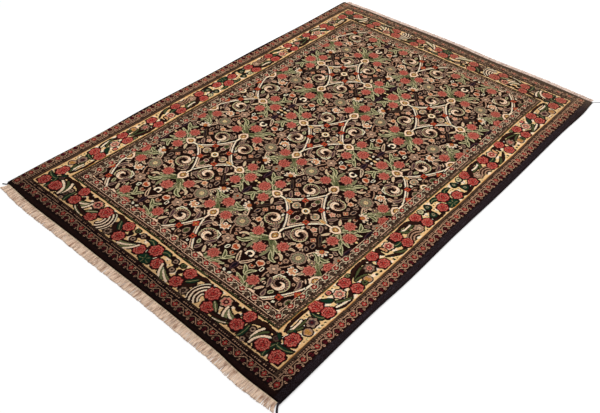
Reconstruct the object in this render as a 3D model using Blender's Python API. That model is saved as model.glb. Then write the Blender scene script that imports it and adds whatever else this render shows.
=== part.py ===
"""A hand-knotted wool rug lying flat on the XY plane, pile up.

+Y runs along the rug to its far end and +X across it. The origin is on the ground under the
middle of the rug's whole box, fringe and corner tails included. The rug is five pieces: the
knotted body, an overcast selvedge along each long side and, at each end, a flat-woven strip
with the warp ends hanging out of it in locks. Everything rests on z = 0.

Helpers work in rug coordinates, measured from the near left corner of the pile.
"""

import math

import bmesh
import bpy
import numpy as np
from mathutils import Matrix

MM = 0.001

# Driving dimensions, in metres.
PILE_WIDTH = 1.400
PILE_LENGTH = 2.040
BODY_THICKNESS = 11.0 * MM
FOUNDATION_THICKNESS = 4.0 * MM
PILE_SHOULDER = 4.0 * MM  # how far in from the edge the pile reaches its full height
SHOULDER_MIDDLE = (0.3, 0.8)  # a point on the rounding: shares of the shoulder and the thickness
SELVEDGE_WIDTH = 7.5 * MM
SELVEDGE_HEIGHT = 8.0 * MM
STRIP_WIDTH = 5.0 * MM  # the flat-woven strip between pile and fringe
STRIP_HEIGHT = 3.0 * MM
GAP = 0.3 * MM  # between neighbouring pieces

LOCKS_PER_END = 144
LOCK_ROOT_SHARE = 0.78  # of the pitch, so that neighbours stand apart
# A lock's sections beyond its root: width as a share of the one before, height, and lean as a
# share of the whole.
LOCK_SECTIONS = ((0.92, 2.4 * MM, 0.35), (0.86, 1.6 * MM, 0.65))
LOCK_LENGTH_SPREAD = 2.2 * MM
LOCK_SEED = 11
LOCK_DRIFT = 5.0 * MM  # how far a bunch of neighbouring locks leans sideways
DRIFT_WAVES = ((0.6, 7), (0.4, 17))  # each wave's share of that drift, and its count in an end
DRIFT_PHASE = {"near": 0.7, "far": 2.9}
NEAR_FAN = (-8.0 * MM, 15.0 * MM)  # extra lean of the near end's first and last lock
FAN_SHARE = 0.07  # of the strip's length, over which that extra lean dies away
FAN_SHORTER = 0.12  # how much shorter a fanned lock reaches
NEAR_FRINGE = 36.0 * MM
FAR_FRINGE = 32.0 * MM

BODY_STEP = 0.060  # spacing of the outline's points
SELVEDGE_STEP = 0.060
SELVEDGE_SIDES = 8

# The handmade edges wander by a few millimetres. Each row is a turning point of an edge:
# how far along it, as a share of its length, and how far outward it lies there, in mm.
EDGE_WANDER = {
    "left": ((0.00, 5), (0.08, 6), (0.19, 2), (0.33, 11), (0.50, 8), (0.66, 12), (0.83, 8), (1.0, 13)),
    "right": ((0.00, 2), (0.20, -2), (0.32, 3), (0.44, 1), (0.61, 5), (0.85, 2), (0.95, 6), (1.00, 0)),
    "near": ((0.00, 2), (0.12, 8), (0.34, 3), (0.65, -2), (0.80, -1), (0.91, 7), (1.00, 4)),
    "far": ((0.00, -8), (0.16, 0), (0.48, 11), (0.65, 3), (0.82, 8), (1.00, 1)),
}

# Loose ends of the side cords: side, end, reach from the corner across and along, thickness, in mm.
CORNER_TAILS = (
    ("left", "near", -17, -14, 3.5),
    ("left", "far", -8, 24, 2.2),
    ("right", "near", 19, -29, 6.5),
    ("right", "far", 32, 38, 2.2),
)
TAIL_SECTIONS = 7
TAIL_BEND = 0.25  # how far along its reach a tail keeps the cord's own direction
TAIL_THINNING = 0.42  # the share of a tail over which it thins from the cord

WOOL_DARK = (0.030, 0.022, 0.028, 1.0)
WOOL_ROSE = (0.250, 0.070, 0.060, 1.0)
WARP_CREAM = (0.700, 0.560, 0.400, 1.0)


def wander(edge, share):
    """How far outward an edge lies at a share of its length, eased between turning points."""
    rows = EDGE_WANDER[edge]
    for (start, low), (end, high) in zip(rows, rows[1:]):
        if share <= end:
            ease = 0.5 - 0.5 * math.cos(math.pi * (share - start) / (end - start))
            return (low + (high - low) * ease) * MM
    return rows[-1][1] * MM


def rug_point(across, along, side_inset=0.0, end_inset=0.0):
    """A point of the rug's plan, by its shares across and along, inset from the pile's edges."""
    left = -wander("left", along) + side_inset
    right = PILE_WIDTH + wander("right", along) - side_inset
    near = -wander("near", across) + end_inset
    far = PILE_LENGTH + wander("far", across) - end_inset
    return np.array([left + (right - left) * across, near + (far - near) * along])


def material(name, colour, roughness):
    made = bpy.data.materials.new(name)
    made.use_nodes = True
    shader = made.node_tree.nodes["Principled BSDF"]
    shader.inputs["Base Color"].default_value = colour
    shader.inputs["Roughness"].default_value = roughness
    shader.inputs["Metallic"].default_value = 0.0
    return made


def object_from(name, mesh, wool):
    """A mesh becomes one closed, outward-facing object of one material."""
    bmesh.ops.recalc_face_normals(mesh, faces=mesh.faces)
    data = bpy.data.meshes.new(name)
    mesh.to_mesh(data)
    mesh.free()
    made = bpy.data.objects.new(name, data)
    bpy.context.scene.collection.objects.link(made)
    data.materials.append(wool)
    return made


def lofted(rings):
    """Closed rings of equal size joined by quads, with the first and last capped."""
    mesh = bmesh.new()
    loops = [[mesh.verts.new(point) for point in ring] for ring in rings]
    for low, high in zip(loops, loops[1:]):
        for i in range(len(low)):
            j = (i + 1) % len(low)
            mesh.faces.new((low[i], low[j], high[j], high[i]))
    mesh.faces.new(loops[0][::-1])
    mesh.faces.new(loops[-1])
    return mesh


def body_outline(inset):
    """The pile's plan, anticlockwise from the near left corner, inset by the given width."""
    across = np.linspace(0.0, 1.0, round(PILE_WIDTH / BODY_STEP) + 1)
    along = np.linspace(0.0, 1.0, round(PILE_LENGTH / BODY_STEP) + 1)
    corners = [(s, 0.0) for s in across[:-1]] + [(1.0, t) for t in along[:-1]]
    corners += [(s, 1.0) for s in across[:0:-1]] + [(0.0, t) for t in along[:0:-1]]
    side = SELVEDGE_WIDTH + GAP + inset
    return [rug_point(s, t, side, inset) for s, t in corners]


def make_body(wool):
    """The knotted slab: an upright foundation edge, then pile that rounds over to its top."""
    shoulder_in, shoulder_up = SHOULDER_MIDDLE
    profile = (
        (0.0, 0.0),
        (0.0, FOUNDATION_THICKNESS),
        (shoulder_in * PILE_SHOULDER, shoulder_up * BODY_THICKNESS),
        (PILE_SHOULDER, BODY_THICKNESS),
    )
    rings = [[(*point, z) for point in body_outline(inset)] for inset, z in profile]
    return object_from("rug_body", lofted(rings), wool)


def flat_bottomed_ring(centre, heading, width, height):
    """An upright section across a heading: a rounded cord that sits flat on the ground."""
    across = np.array([heading[1], -heading[0]])
    ring = []
    for i in range(SELVEDGE_SIDES):
        turn = 2 * math.pi * (i + 0.5) / SELVEDGE_SIDES
        out = math.cos(turn) / math.cos(math.pi / SELVEDGE_SIDES)
        up = math.sin(turn) / math.sin(turn_of_top())
        plan = centre + across * (0.5 * width * out)
        ring.append((*plan, 0.5 * height * (1 + up)))
    return ring


def turn_of_top():
    """The angle of a section's highest corner, which lies half a side from straight up."""
    return math.pi / 2 - math.pi / SELVEDGE_SIDES


def selvedge_rows(side):
    """From one tail's tip to the other's: centre points, each with the cord's width and height."""
    share = 0.0 if side == "left" else 1.0
    count = round(PILE_LENGTH / SELVEDGE_STEP)
    cord = [rug_point(share, i / count, 0.5 * SELVEDGE_WIDTH) for i in range(count + 1)]
    rows = [(point, SELVEDGE_WIDTH, SELVEDGE_HEIGHT) for point in cord]
    tails = {end: reach for of, end, *reach in CORNER_TAILS if of == side}
    near = tail_rows(cord[0], cord[0] - cord[1], *tails["near"])
    far = tail_rows(cord[-1], cord[-1] - cord[-2], *tails["far"])
    return near[::-1] + rows + far


def tail_rows(corner, heading, across, along, thickness):
    """A loose end: it leaves along the cord, curves over to its tip and thins on the way."""
    reach = np.array([across, along]) * MM
    bend = heading / np.linalg.norm(heading) * TAIL_BEND * np.linalg.norm(reach)
    rows = []
    for i in range(1, TAIL_SECTIONS + 1):
        t = i / TAIL_SECTIONS
        point = corner + 2 * t * (1 - t) * bend + t * t * reach
        thick = max(0.0, 1 - t / TAIL_THINNING)
        width = thickness * MM + (SELVEDGE_WIDTH - thickness * MM) * thick
        height = thickness * MM + (SELVEDGE_HEIGHT - thickness * MM) * thick
        rows.append((point, width, height))
    return rows


def make_selvedge(side, wool):
    """One overcast side cord with its two loose ends."""
    rows = selvedge_rows(side)
    points = np.array([row[0] for row in rows])
    headings = np.gradient(points, axis=0)
    headings /= np.linalg.norm(headings, axis=1)[:, None]
    rings = [
        flat_bottomed_ring(point, heading, width, height)
        for (point, width, height), heading in zip(rows, headings)
    ]
    return object_from(f"selvedge_{side}", lofted(rings), wool)


def strip_point(end, across, out):
    """A point of an end strip: its share across between the selvedges, and how far out."""
    sign, along = (-1, 0.0) if end == "near" else (1, 1.0)
    point = rug_point(across, along, SELVEDGE_WIDTH + GAP)
    return point + np.array([0.0, sign * (GAP + out)])


def lock_stations():
    """The shares across the strip where each lock's root starts and ends."""
    half = 0.5 * LOCK_ROOT_SHARE
    middles = (np.arange(LOCKS_PER_END) + 0.5) / LOCKS_PER_END
    return [(m - half / LOCKS_PER_END, m + half / LOCKS_PER_END) for m in middles]


def fan_of(end, share):
    """How far a lock's tip fans out at the near end's two corners, and how much it is fanned."""
    if end == "far":
        return 0.0, 0.0
    first = max(0.0, 1 - share / FAN_SHARE) ** 2
    last = max(0.0, 1 - (1 - share) / FAN_SHARE) ** 2
    return first * NEAR_FAN[0] + last * NEAR_FAN[1], first + last


def drift_of(end, share):
    """How far a lock's tip drifts sideways. Bunches of neighbours lean together."""
    turn, phase = 2 * math.pi * share, DRIFT_PHASE[end]
    return LOCK_DRIFT * sum(part * math.sin(count * turn + phase) for part, count in DRIFT_WAVES)


def make_fringe(end, length, wool, chance):
    """A flat-woven strip with the warp ends growing out of its outer side in locks."""
    roots = lock_stations()
    outer = [0.0] + [share for root in roots for share in root] + [1.0]
    inner = np.linspace(1.0, 0.0, round(PILE_WIDTH / BODY_STEP) + 1)
    plan = [strip_point(end, share, STRIP_WIDTH) for share in outer]
    plan += [strip_point(end, share, 0.0) for share in inner]
    mesh = bmesh.new()
    floor = [mesh.verts.new((*point, 0.0)) for point in plan]
    top = [mesh.verts.new((*point, STRIP_HEIGHT)) for point in plan]
    mesh.faces.new(floor)
    mesh.faces.new(top)
    sides = []
    for i in range(len(plan)):
        j = (i + 1) % len(plan)
        sides.append(mesh.faces.new((floor[i], floor[j], top[j], top[i])))
    for number in range(LOCKS_PER_END):
        share = (number + 0.5) / LOCKS_PER_END
        fan, fanned = fan_of(end, share)
        reach = length - STRIP_WIDTH + LOCK_LENGTH_SPREAD * chance.uniform(-1, 1)
        lean = fan + drift_of(end, share) * (1 - fanned)
        grow_lock(mesh, sides[1 + 2 * number], end, reach * (1 - FAN_SHORTER * fanned), lean)
    return object_from(f"fringe_{end}", mesh, wool)


def grow_lock(mesh, root, end, reach, lean):
    """A root face is extruded outward twice, narrowing and lowering, its floor kept at z = 0."""
    outward = -1 if end == "near" else 1
    face = root
    for width, height, leant in LOCK_SECTIONS:
        face = bmesh.ops.extrude_discrete_faces(mesh, faces=[face])["faces"][0]
        middle = face.calc_center_median()
        for vert in face.verts:
            vert.co.x = middle.x + (vert.co.x - middle.x) * width + lean * leant
            vert.co.y += outward * reach / len(LOCK_SECTIONS)
            vert.co.z = height if vert.co.z > 0 else 0.0


def centre_over_origin(objects):
    """Moves every mesh together, so that the origin is under the middle of the whole box."""
    points = np.array([vert.co for made in objects for vert in made.data.vertices])
    middle = 0.5 * (points.min(axis=0) + points.max(axis=0))
    for made in objects:
        made.data.transform(Matrix.Translation((-middle[0], -middle[1], 0.0)))


def make_rug():
    for old in list(bpy.data.objects):
        bpy.data.objects.remove(old)
    pile = material("pile_wool", WOOL_ROSE, 0.95)
    overcast = material("overcast_wool", WOOL_DARK, 0.9)
    warp = material("warp_ends", WARP_CREAM, 0.9)
    chance = np.random.default_rng(LOCK_SEED)
    pieces = [
        make_body(pile),
        make_selvedge("left", overcast),
        make_selvedge("right", overcast),
        make_fringe("near", NEAR_FRINGE, warp, chance),
        make_fringe("far", FAR_FRINGE, warp, chance),
    ]
    centre_over_origin(pieces)


make_rug()
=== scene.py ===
import bpy
import numpy as np
from mathutils import Matrix, Vector


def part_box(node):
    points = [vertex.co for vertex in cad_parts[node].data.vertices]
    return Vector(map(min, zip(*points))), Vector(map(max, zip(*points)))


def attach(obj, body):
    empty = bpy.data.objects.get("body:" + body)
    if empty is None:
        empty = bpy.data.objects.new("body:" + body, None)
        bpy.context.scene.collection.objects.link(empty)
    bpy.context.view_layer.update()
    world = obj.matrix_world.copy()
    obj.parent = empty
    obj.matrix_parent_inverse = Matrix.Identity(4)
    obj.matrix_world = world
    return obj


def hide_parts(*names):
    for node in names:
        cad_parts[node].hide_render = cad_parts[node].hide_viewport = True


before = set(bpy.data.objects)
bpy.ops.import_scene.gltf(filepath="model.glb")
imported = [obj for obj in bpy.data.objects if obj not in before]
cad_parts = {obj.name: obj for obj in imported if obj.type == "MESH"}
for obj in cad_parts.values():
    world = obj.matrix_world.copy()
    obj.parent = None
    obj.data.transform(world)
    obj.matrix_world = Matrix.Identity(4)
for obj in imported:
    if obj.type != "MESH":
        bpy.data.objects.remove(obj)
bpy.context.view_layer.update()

# ---------------------------------------------------------------------------------------------
# The fringe. Undyed cotton warps run the length of the rug, hang out of both its ends and are
# cut there. Each strand is a few warps twisted together, lying on the floor; neighbours lean
# together in bunches, and at the near corners they fan outward.

# Everything is set out in millimetres on the floor from the pile's near left corner. A rug comes
# off the loom with edges that wander a few millimetres, because the wefts are drawn in by hand.
WIDE = 1400.0
LONG = 2040.0
body_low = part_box("rug_body")[0]
NEAR_LEFT = (1000 * body_low.x + 5.2, 1000 * body_low.y + 8.0)  # that corner, in the frame
EDGE_WANDER = {  # share along the edge, then how far outward it lies there
    "left": ((0, 5), (0.08, 6), (0.19, 2), (0.33, 11), (0.5, 8), (0.66, 12), (0.83, 8), (1, 13)),
    "right": ((0, 2), (0.2, -2), (0.32, 3), (0.44, 1), (0.61, 5), (0.85, 2), (0.95, 6), (1, 0)),
    "near": ((0, 2), (0.12, 8), (0.34, 3), (0.65, -2), (0.8, -1), (0.91, 7), (1, 4)),
    "far": ((0, -8), (0.16, 0), (0.48, 11), (0.65, 3), (0.82, 8), (1, 1)),
}
OUTWARD = {"near": -1, "far": 1}  # the way out of the rug at each end, along it
STRIP_START = 7.8  # mm, how far in from the pile's sides the flat-woven strip begins
STRIP_OFF = 0.3  # mm between the pile's end and the strip
STRIP_WIDE = 5.0
TUCKED = 0.6  # mm, how far inside the strip the strands begin
FAN = 0.07  # the share of the near end, from each corner, where the strands fan outward
STRANDS = 690  # at each end, in a lower and an upper layer
STRAND_RINGS = 8
STRAND_SIDES = 5
FRINGE_LONG = {"near": 36.0, "far": 32.0}
STRAND_HALF = {"near": (1.05, 1.35), "far": (1.25, 1.5)}  # mm, half of a strand's thickness
DRIFT_PHASE = {"near": 0.7, "far": 2.9}


def wander(edge, share):
    """How far outward an edge lies at each share: half a cosine from one station to the next."""
    stations, outward = np.array(EDGE_WANDER[edge], float).T
    leg = np.clip(np.searchsorted(stations, share, side="right") - 1, 0, len(stations) - 2)
    part = np.clip((share - stations[leg]) / (stations[leg + 1] - stations[leg]), 0, 1)
    ease = 0.5 - 0.5 * np.cos(np.pi * part)
    return outward[leg] + (outward[leg + 1] - outward[leg]) * ease


def plan(across, along, side_inset=0.0):
    """Millimetres on the floor for shares across and along: each share of the way from one edge's
    line to the opposite edge's."""
    left = -wander("left", along) + side_inset
    right = WIDE + wander("right", along) - side_inset
    near = -wander("near", across)
    far = LONG + wander("far", across)
    return left + (right - left) * across, near + (far - near) * along


def strip_point(end, share, out):
    """The point at a share of an end's line and so many millimetres beyond it."""
    x, y = plan(share, np.full_like(share, 0.0 if end == "near" else 1.0), STRIP_START)
    return x, y + OUTWARD[end] * (STRIP_OFF + out)


def strand_paths(end, root, t, chance):
    """Middles of the strands: out from the strip by their length, and sideways as t to the 1.5 by
    the fan at the near corners plus three sines of the place along the end."""
    turn = 2 * np.pi * root
    drift = 3.0 * np.sin(7 * turn + DRIFT_PHASE[end]) + 2.0 * np.sin(17 * turn + DRIFT_PHASE[end])
    drift = drift + 1.9 * np.sin(59 * turn + 4 * np.sin(5 * turn))
    first = np.clip(1 - root / FAN, 0, 1) ** 2 * (end == "near")
    last = np.clip(1 - (1 - root) / FAN, 0, 1) ** 2 * (end == "near")
    lean = -8.0 * first + 15.0 * last + drift * (1 - first - last)
    lean = lean + chance.normal(0, 0.8, len(root))
    uneven = 0.7 * np.sin(23 * turn + 1) + chance.uniform(-1.3, 1.0, len(root))
    reach = (FRINGE_LONG[end] - STRIP_WIDE + TUCKED + uneven) * (1 - 0.12 * (first + last))
    bow = chance.normal(0, 0.4, len(root))
    x, y = strip_point(end, root, STRIP_WIDE - TUCKED)
    x = x[:, None] + lean[:, None] * t**1.5 + bow[:, None] * np.sin(np.pi * t * 1.3)
    return x, y[:, None] + OUTWARD[end] * reach[:, None] * t


def fringe_strands(end, chance):
    """Rings of points round every strand: circles along its middle, which thin towards the tip and
    fray out a little there. Every second strand lies in the upper layer and waves as a sine."""
    t = np.linspace(0, 1, STRAND_RINGS)[None, :]
    root = (np.arange(STRANDS) + 0.5 + chance.uniform(-0.3, 0.3, STRANDS)) / STRANDS
    x, y = strand_paths(end, root, t, chance)
    upper = (np.arange(STRANDS) % 2)[:, None]
    fray = np.clip(t - 0.85, 0, 1) / 0.15
    thick = chance.uniform(*STRAND_HALF[end], STRANDS)[:, None] * (1.0 - 0.1 * t + 0.12 * fray)
    wave = 0.25 * np.sin(5 * t + root[:, None] * 900)
    height = thick + 0.1 + upper * (0.95 - 0.6 * t) + wave * upper
    angle = 2 * np.pi * np.arange(STRAND_SIDES) / STRAND_SIDES
    ring_x = x[:, :, None] + thick[:, :, None] * np.cos(angle)
    ring_z = np.maximum(height[:, :, None] + thick[:, :, None] * np.sin(angle), 0.05)
    ring_y = np.broadcast_to(y[:, :, None], ring_x.shape)
    return np.stack([ring_x, ring_y, ring_z], axis=-1), t[0]


def ring_faces(rings, around):
    """The quads of one tube, whose rings of points are numbered one after another: each point, the
    next one round, and the same two on the ring after."""
    first = (np.arange(rings - 1)[:, None] * around + np.arange(around)).ravel()
    beside = (np.arange(rings - 1)[:, None] * around + (np.arange(around) + 1) % around).ravel()
    return np.stack([first, beside, beside + around, first + around], axis=1)


def new_piece(name, points, faces, material, caps=()):
    """A mesh in millimetres of the floor plan becomes a smooth piece of one material. Its place in
    the frame is in its points, and the object itself stays at the origin."""
    points = np.array(points, float).reshape(-1, 3)
    placed = (points + (NEAR_LEFT[0], NEAR_LEFT[1], 0.0)) / 1000
    mesh = bpy.data.meshes.new(name)
    mesh.from_pydata(placed.tolist(), [], np.asarray(faces).tolist() + [list(cap) for cap in caps])
    mesh.materials.append(material)
    mesh.polygons.foreach_set("use_smooth", np.ones(len(mesh.polygons), bool))
    mesh.update()
    piece = bpy.data.objects.new(name, mesh)
    bpy.context.scene.collection.objects.link(piece)
    return piece


def lay_yarn(piece, around, along):
    """Stores each corner's share of the turn round the yarn and its millimetres along it."""
    where = np.stack([around, along], axis=-1).astype(float)
    piece.data.uv_layers.new(name="yarn").data.foreach_set("uv", where.ravel())


def linear(colour):
    """A six-digit sRGB colour as linear light: each part by the standard's power curve."""
    parts = np.array([int(colour[i : i + 2], 16) for i in (1, 3, 5)]) / 255
    return np.where(parts <= 0.04045, parts / 12.92, ((parts + 0.055) / 1.055) ** 2.4)


def add(tree, kind, settings, inputs):
    """Adds one node. Its settings are attributes, and each named input gets its value, or a link
    where that is another node's output."""
    node = tree.nodes.new("ShaderNode" + kind)
    for key, value in settings.items():
        setattr(node, key, value)
    for key, value in inputs.items():
        if isinstance(value, bpy.types.NodeSocket):
            tree.links.new(value, node.inputs[key])
        else:
            node.inputs[key].default_value = value
    return node


def undyed_cotton(name, light, dark, plies, lay):
    """Twisted undyed cotton. To the eye it is cream, with grooves that slant round it between its
    plies, painted grey-brown as shade, darker where feet have soiled it, and dry and fuzzy, without
    a gloss. The plies are a sine of the turn round the yarn plus the way along it, lay millimetres
    to a turn."""
    material = bpy.data.materials.new(name)
    material.use_nodes = True
    tree = material.node_tree
    yarn = add(tree, "UVMap", {"uv_map": "yarn"}, {}).outputs["UV"]
    parts = add(tree, "SeparateXYZ", {}, {"Vector": yarn})
    turn = {0: parts.outputs["X"], 1: 2 * np.pi * plies}
    turn = add(tree, "Math", {"operation": "MULTIPLY"}, turn)
    along = {0: parts.outputs["Y"], 1: 2 * np.pi / lay, 2: turn.outputs["Value"]}
    way = add(tree, "Math", {"operation": "MULTIPLY_ADD"}, along)
    ply = add(tree, "Math", {"operation": "SINE"}, {0: way.outputs["Value"]}).outputs["Value"]
    place = add(tree, "TexCoord", {}, {}).outputs["Object"]
    # soil in patches of 30 mm, yarns paler or darker in bunches 5 mm wide that run along them for
    # 30 mm, and a fuzz of 1.1 mm: the real fibres are far finer and wouldn't show
    soil = {"Vector": place, "Scale": 1000 / 30, "Detail": 5.0}
    soil = add(tree, "TexNoise", {}, soil).outputs["Fac"]
    drawn = add(tree, "VectorMath", {"operation": "MULTIPLY"}, {0: place, 1: (1.0, 5 / 30, 1.0)})
    tone = {"Vector": drawn.outputs["Vector"], "Scale": 1000 / 5, "Detail": 1.0}
    tone = add(tree, "TexNoise", {}, tone).outputs["Fac"]
    fuzz = {"Vector": place, "Scale": 1000 / 1.1, "Detail": 3.0}
    fuzz = add(tree, "TexNoise", {}, fuzz).outputs["Fac"]
    # painted shade: the grooves between the plies take the dark colour, and so do the real soiled
    # patches
    groove = add(tree, "MapRange", {}, {"Value": ply, "From Min": -1.0, "From Max": 0.4})
    blend_with_painted_light = add(tree, "Math", {"operation": "MULTIPLY"}, {0: groove.outputs["Result"], 1: soil})
    uneven = {0: tone, 1: 1.6, 2: blend_with_painted_light.outputs["Value"]}
    blend_with_painted_light = add(tree, "Math", {"operation": "MULTIPLY_ADD"}, uneven)
    share = {"Value": blend_with_painted_light.outputs["Value"], "From Min": 0.66, "From Max": 1.28}
    share = add(tree, "MapRange", {}, share)
    shades = {0: share.outputs["Result"], 6: (*linear(dark), 1.0), 7: (*linear(light), 1.0)}
    colour = add(tree, "Mix", {"data_type": "RGBA"}, shades)
    relief = add(tree, "Bump", {}, {"Height": ply, "Strength": 0.6, "Distance": 0.0004})
    fibres = {"Height": fuzz, "Strength": 0.4, "Distance": 0.0003}
    relief = add(tree, "Bump", {}, {**fibres, "Normal": relief.outputs["Normal"]})
    rough = add(tree, "MapRange", {}, {"Value": fuzz, "To Min": 0.8, "To Max": 1.0})
    shader = tree.nodes["Principled BSDF"]
    tree.links.new(colour.outputs[2], shader.inputs["Base Color"])
    tree.links.new(rough.outputs["Result"], shader.inputs["Roughness"])
    tree.links.new(relief.outputs["Normal"], shader.inputs["Normal"])
    shader.inputs["IOR"].default_value = 1.53
    shader.inputs["Specular IOR Level"].default_value = 0.12
    return material


# the far end's warps are the same yarn as the near end's, a little paler and pinker as painted
# sheen
warp_yarns = {
    "near": undyed_cotton("twisted undyed cotton warps, near end", "#f1d7bf", "#875b42", 2.0, 5.5),
    "far": undyed_cotton("twisted undyed cotton warps, far end, with painted sheen", "#e6cfc0", "#957568", 2.0, 5.5),
}
for end in ("near", "far"):
    points, t = fringe_strands(end, np.random.default_rng(4 if end == "near" else 9))
    each = STRAND_RINGS * STRAND_SIDES
    faces = ring_faces(STRAND_RINGS, STRAND_SIDES)
    caps = np.array([np.arange(STRAND_SIDES)[::-1], np.arange(STRAND_SIDES) + each - STRAND_SIDES])
    if end == "far":  # its tubes run the other way, and faces point outward on both
        faces = faces[:, ::-1]
        caps = caps[:, ::-1]
    starts = np.arange(STRANDS) * each
    faces = (faces[None] + starts[:, None, None]).reshape(-1, 4)
    caps = (caps[None] + starts[:, None, None]).reshape(-1, STRAND_SIDES)
    piece = new_piece(f"warp_ends_{end}", points, faces, warp_yarns[end], caps)
    corner = np.concatenate([faces.ravel(), caps.ravel()])
    # every strand's plies begin 1.7 mm further on than those of the one before it
    along = t[corner % each // STRAND_SIDES] * FRINGE_LONG[end] + corner // each * 1.7
    lay_yarn(piece, corner % STRAND_SIDES / STRAND_SIDES, along)
    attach(piece, "root")
    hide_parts(f"fringe_{end}")

# ---------------------------------------------------------------------------------------------
# The kilim ends. Before the first row of knots and after the last, the weaver packs a narrow
# flat strip of undyed cotton weft over the same warps, which closes the cloth.

STRIP_SECTION = (  # millimetres outward and up, round the strip
    (0.0, 0.1),
    (0.0, 2.2),
    (0.9, 2.9),
    (2.5, 2.5),
    (4.1, 2.7),
    (STRIP_WIDE, 1.9),
    (STRIP_WIDE, 0.1),
    (2.5, 0.05),
)
STRIP_RINGS = 701
flat_weave = undyed_cotton("undyed cotton weft of the kilim ends", "#e6d0b2", "#957a62", 3.0, 2.6)
for end in ("near", "far"):
    # the section carried along the end, its top lumpy with the warps under the weft as a sine
    shares = np.linspace(0, 1, STRIP_RINGS)
    out, up = np.array(STRIP_SECTION).T[:, None, :]
    lumps = 0.16 * np.sin(shares * WIDE / 1.3)[:, None] * (up > 1)
    x, y = strip_point(end, shares, 0.0)
    y = y[:, None] + OUTWARD[end] * out
    points = np.stack(np.broadcast_arrays(x[:, None], y, up + lumps), axis=-1)
    around = len(STRIP_SECTION)
    faces = ring_faces(STRIP_RINGS, around)
    caps = np.array([np.arange(around)[::-1], np.arange(around) + around * (STRIP_RINGS - 1)])
    if end == "far":
        faces = faces[:, ::-1]
        caps = caps[:, ::-1]
    piece = new_piece(f"kilim_{end}", points, faces, flat_weave, caps)
    corner = np.concatenate([faces.ravel(), caps.ravel()])
    lay_yarn(piece, corner % around / around, shares[corner // around] * WIDE)
    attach(piece, "root")
    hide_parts(f"fringe_{end}")

# ---------------------------------------------------------------------------------------------
# The overcast sides. Each long side ends in a thick cord of warps, which the weaver wraps round
# and round with dark wool. At the four corners the yarn's loose ends lie out on the floor.

CORD_WIDE = 7.5
CORD_HIGH = 8.0
WRAP = 2.2  # mm from one turn of the wrapping yarn to the next
SLANT = 0.9  # mm, how far a turn leans forward and back of its own place
CORD_SIDES = 12
TAILS = {  # side and end: how far the loose end reaches across and along, and its thickness
    ("left", "near"): (-17.0, -14.0, 3.5),
    ("left", "far"): (-8.0, 24.0, 2.2),
    ("right", "near"): (19.0, -29.0, 6.5),
    ("right", "far"): (32.0, 38.0, 2.2),
}


def cord_line(side, s):
    """The cord's middle at s millimetres along, and past either end its tail: a curve that leaves
    the corner as the cord goes and bends, as its share squared, to the tail's reach."""
    share = 0.0 if side == "left" else 1.0
    x, y = plan(share, np.clip(s / LONG, 0, 1), 0.5 * CORD_WIDE)
    for end, past, mark in (("near", -s, 0.0), ("far", s - LONG, 1.0)):
        reach = np.array(TAILS[side, end][:2])
        length = np.hypot(*reach)
        t = np.clip(past / length, 0, 1)
        places = plan(np.full(2, share), np.array([mark, abs(mark - 0.03)]), 0.5 * CORD_WIDE)
        corner, inward = np.array(places).T
        bend = (corner - inward) / np.hypot(*(corner - inward)) * 0.25 * length
        x = np.where(past > 0, corner[0] + 2 * t * (1 - t) * bend[0] + t * t * reach[0], x)
        y = np.where(past > 0, corner[1] + 2 * t * (1 - t) * bend[1] + t * t * reach[1], y)
    return x, y


def cord_size(side, s):
    """The cord's width and height at s: even along the side, thinning to each tail's own."""
    wide, high = np.full(s.shape, CORD_WIDE), np.full(s.shape, CORD_HIGH)
    for end, past in (("near", -s), ("far", s - LONG)):
        across, along, thin = TAILS[side, end]
        kept = np.clip(1 - past / np.hypot(across, along) / 0.42, 0, 1)
        wide = np.where(past > 0, thin + (CORD_WIDE - thin) * kept, wide)
        high = np.where(past > 0, thin + (CORD_HIGH - thin) * kept, high)
    return wide, high


def wrapped_cord(side):
    """Rings of points round a cord: flattened circles along its line, every second one pulled in
    between two turns of the yarn, and leaning forward on one side as the yarn slants."""
    near, far = (np.hypot(*TAILS[side, end][:2]) for end in ("near", "far"))
    before = np.arange(-near, 0, 0.5 * WRAP)
    after = np.arange(LONG + 0.5 * WRAP, LONG + far, 0.5 * WRAP)
    stations = np.concatenate([before, np.arange(0, LONG + 0.1, 0.5 * WRAP), after])
    angle = 2 * np.pi * (np.arange(CORD_SIDES) + 0.5) / CORD_SIDES
    wrapped = (stations > 0) & (stations < LONG)
    s = stations[:, None] + SLANT * wrapped[:, None] * np.cos(angle)
    x, y = cord_line(side, s)
    ahead, behind = cord_line(side, s + 0.6), cord_line(side, s - 0.6)
    going = np.stack([ahead[0] - behind[0], ahead[1] - behind[1]])
    going = going / np.maximum(np.hypot(*going), 1e-6)
    wide, high = cord_size(side, s)
    pulled = np.where(np.arange(len(stations)) % 2, 1.0, 0.87)[:, None]
    round_x = np.sign(np.cos(angle)) * abs(np.cos(angle)) ** 0.8
    round_z = np.sign(np.sin(angle)) * abs(np.sin(angle)) ** 0.8
    out = 0.5 * wide * pulled * round_x
    up = 0.5 * high * (1 + pulled * round_z)
    return np.stack([x + going[1] * out, y - going[0] * out, up], axis=-1)


# Blue-black wool yarn, wound tight. To the eye it is a nearly black, fuzzy cord, browner in
# patches of 35 mm where feet have rubbed it; the fuzz is drawn 0.9 mm coarse so that it shows.
overcast_wool = bpy.data.materials.new("dark overcast wool yarn")
overcast_wool.use_nodes = True
tree = overcast_wool.node_tree
place = add(tree, "TexCoord", {}, {}).outputs["Object"]
rubbed = {"Vector": place, "Scale": 1000 / 35, "Detail": 4.0}
rubbed = add(tree, "TexNoise", {}, rubbed).outputs["Fac"]
fuzz = {"Vector": place, "Scale": 1000 / 0.9, "Detail": 3.0}
fuzz = add(tree, "TexNoise", {}, fuzz).outputs["Fac"]
both = add(tree, "Math", {"operation": "MULTIPLY"}, {0: rubbed, 1: fuzz})
share = {"Value": both.outputs["Value"], "From Min": 0.16, "From Max": 0.42}
share = add(tree, "MapRange", {}, share)
shades = {0: share.outputs["Result"], 6: (*linear("#15121b"), 1.0), 7: (*linear("#342a2d"), 1.0)}
colour = add(tree, "Mix", {"data_type": "RGBA"}, shades)
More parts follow.
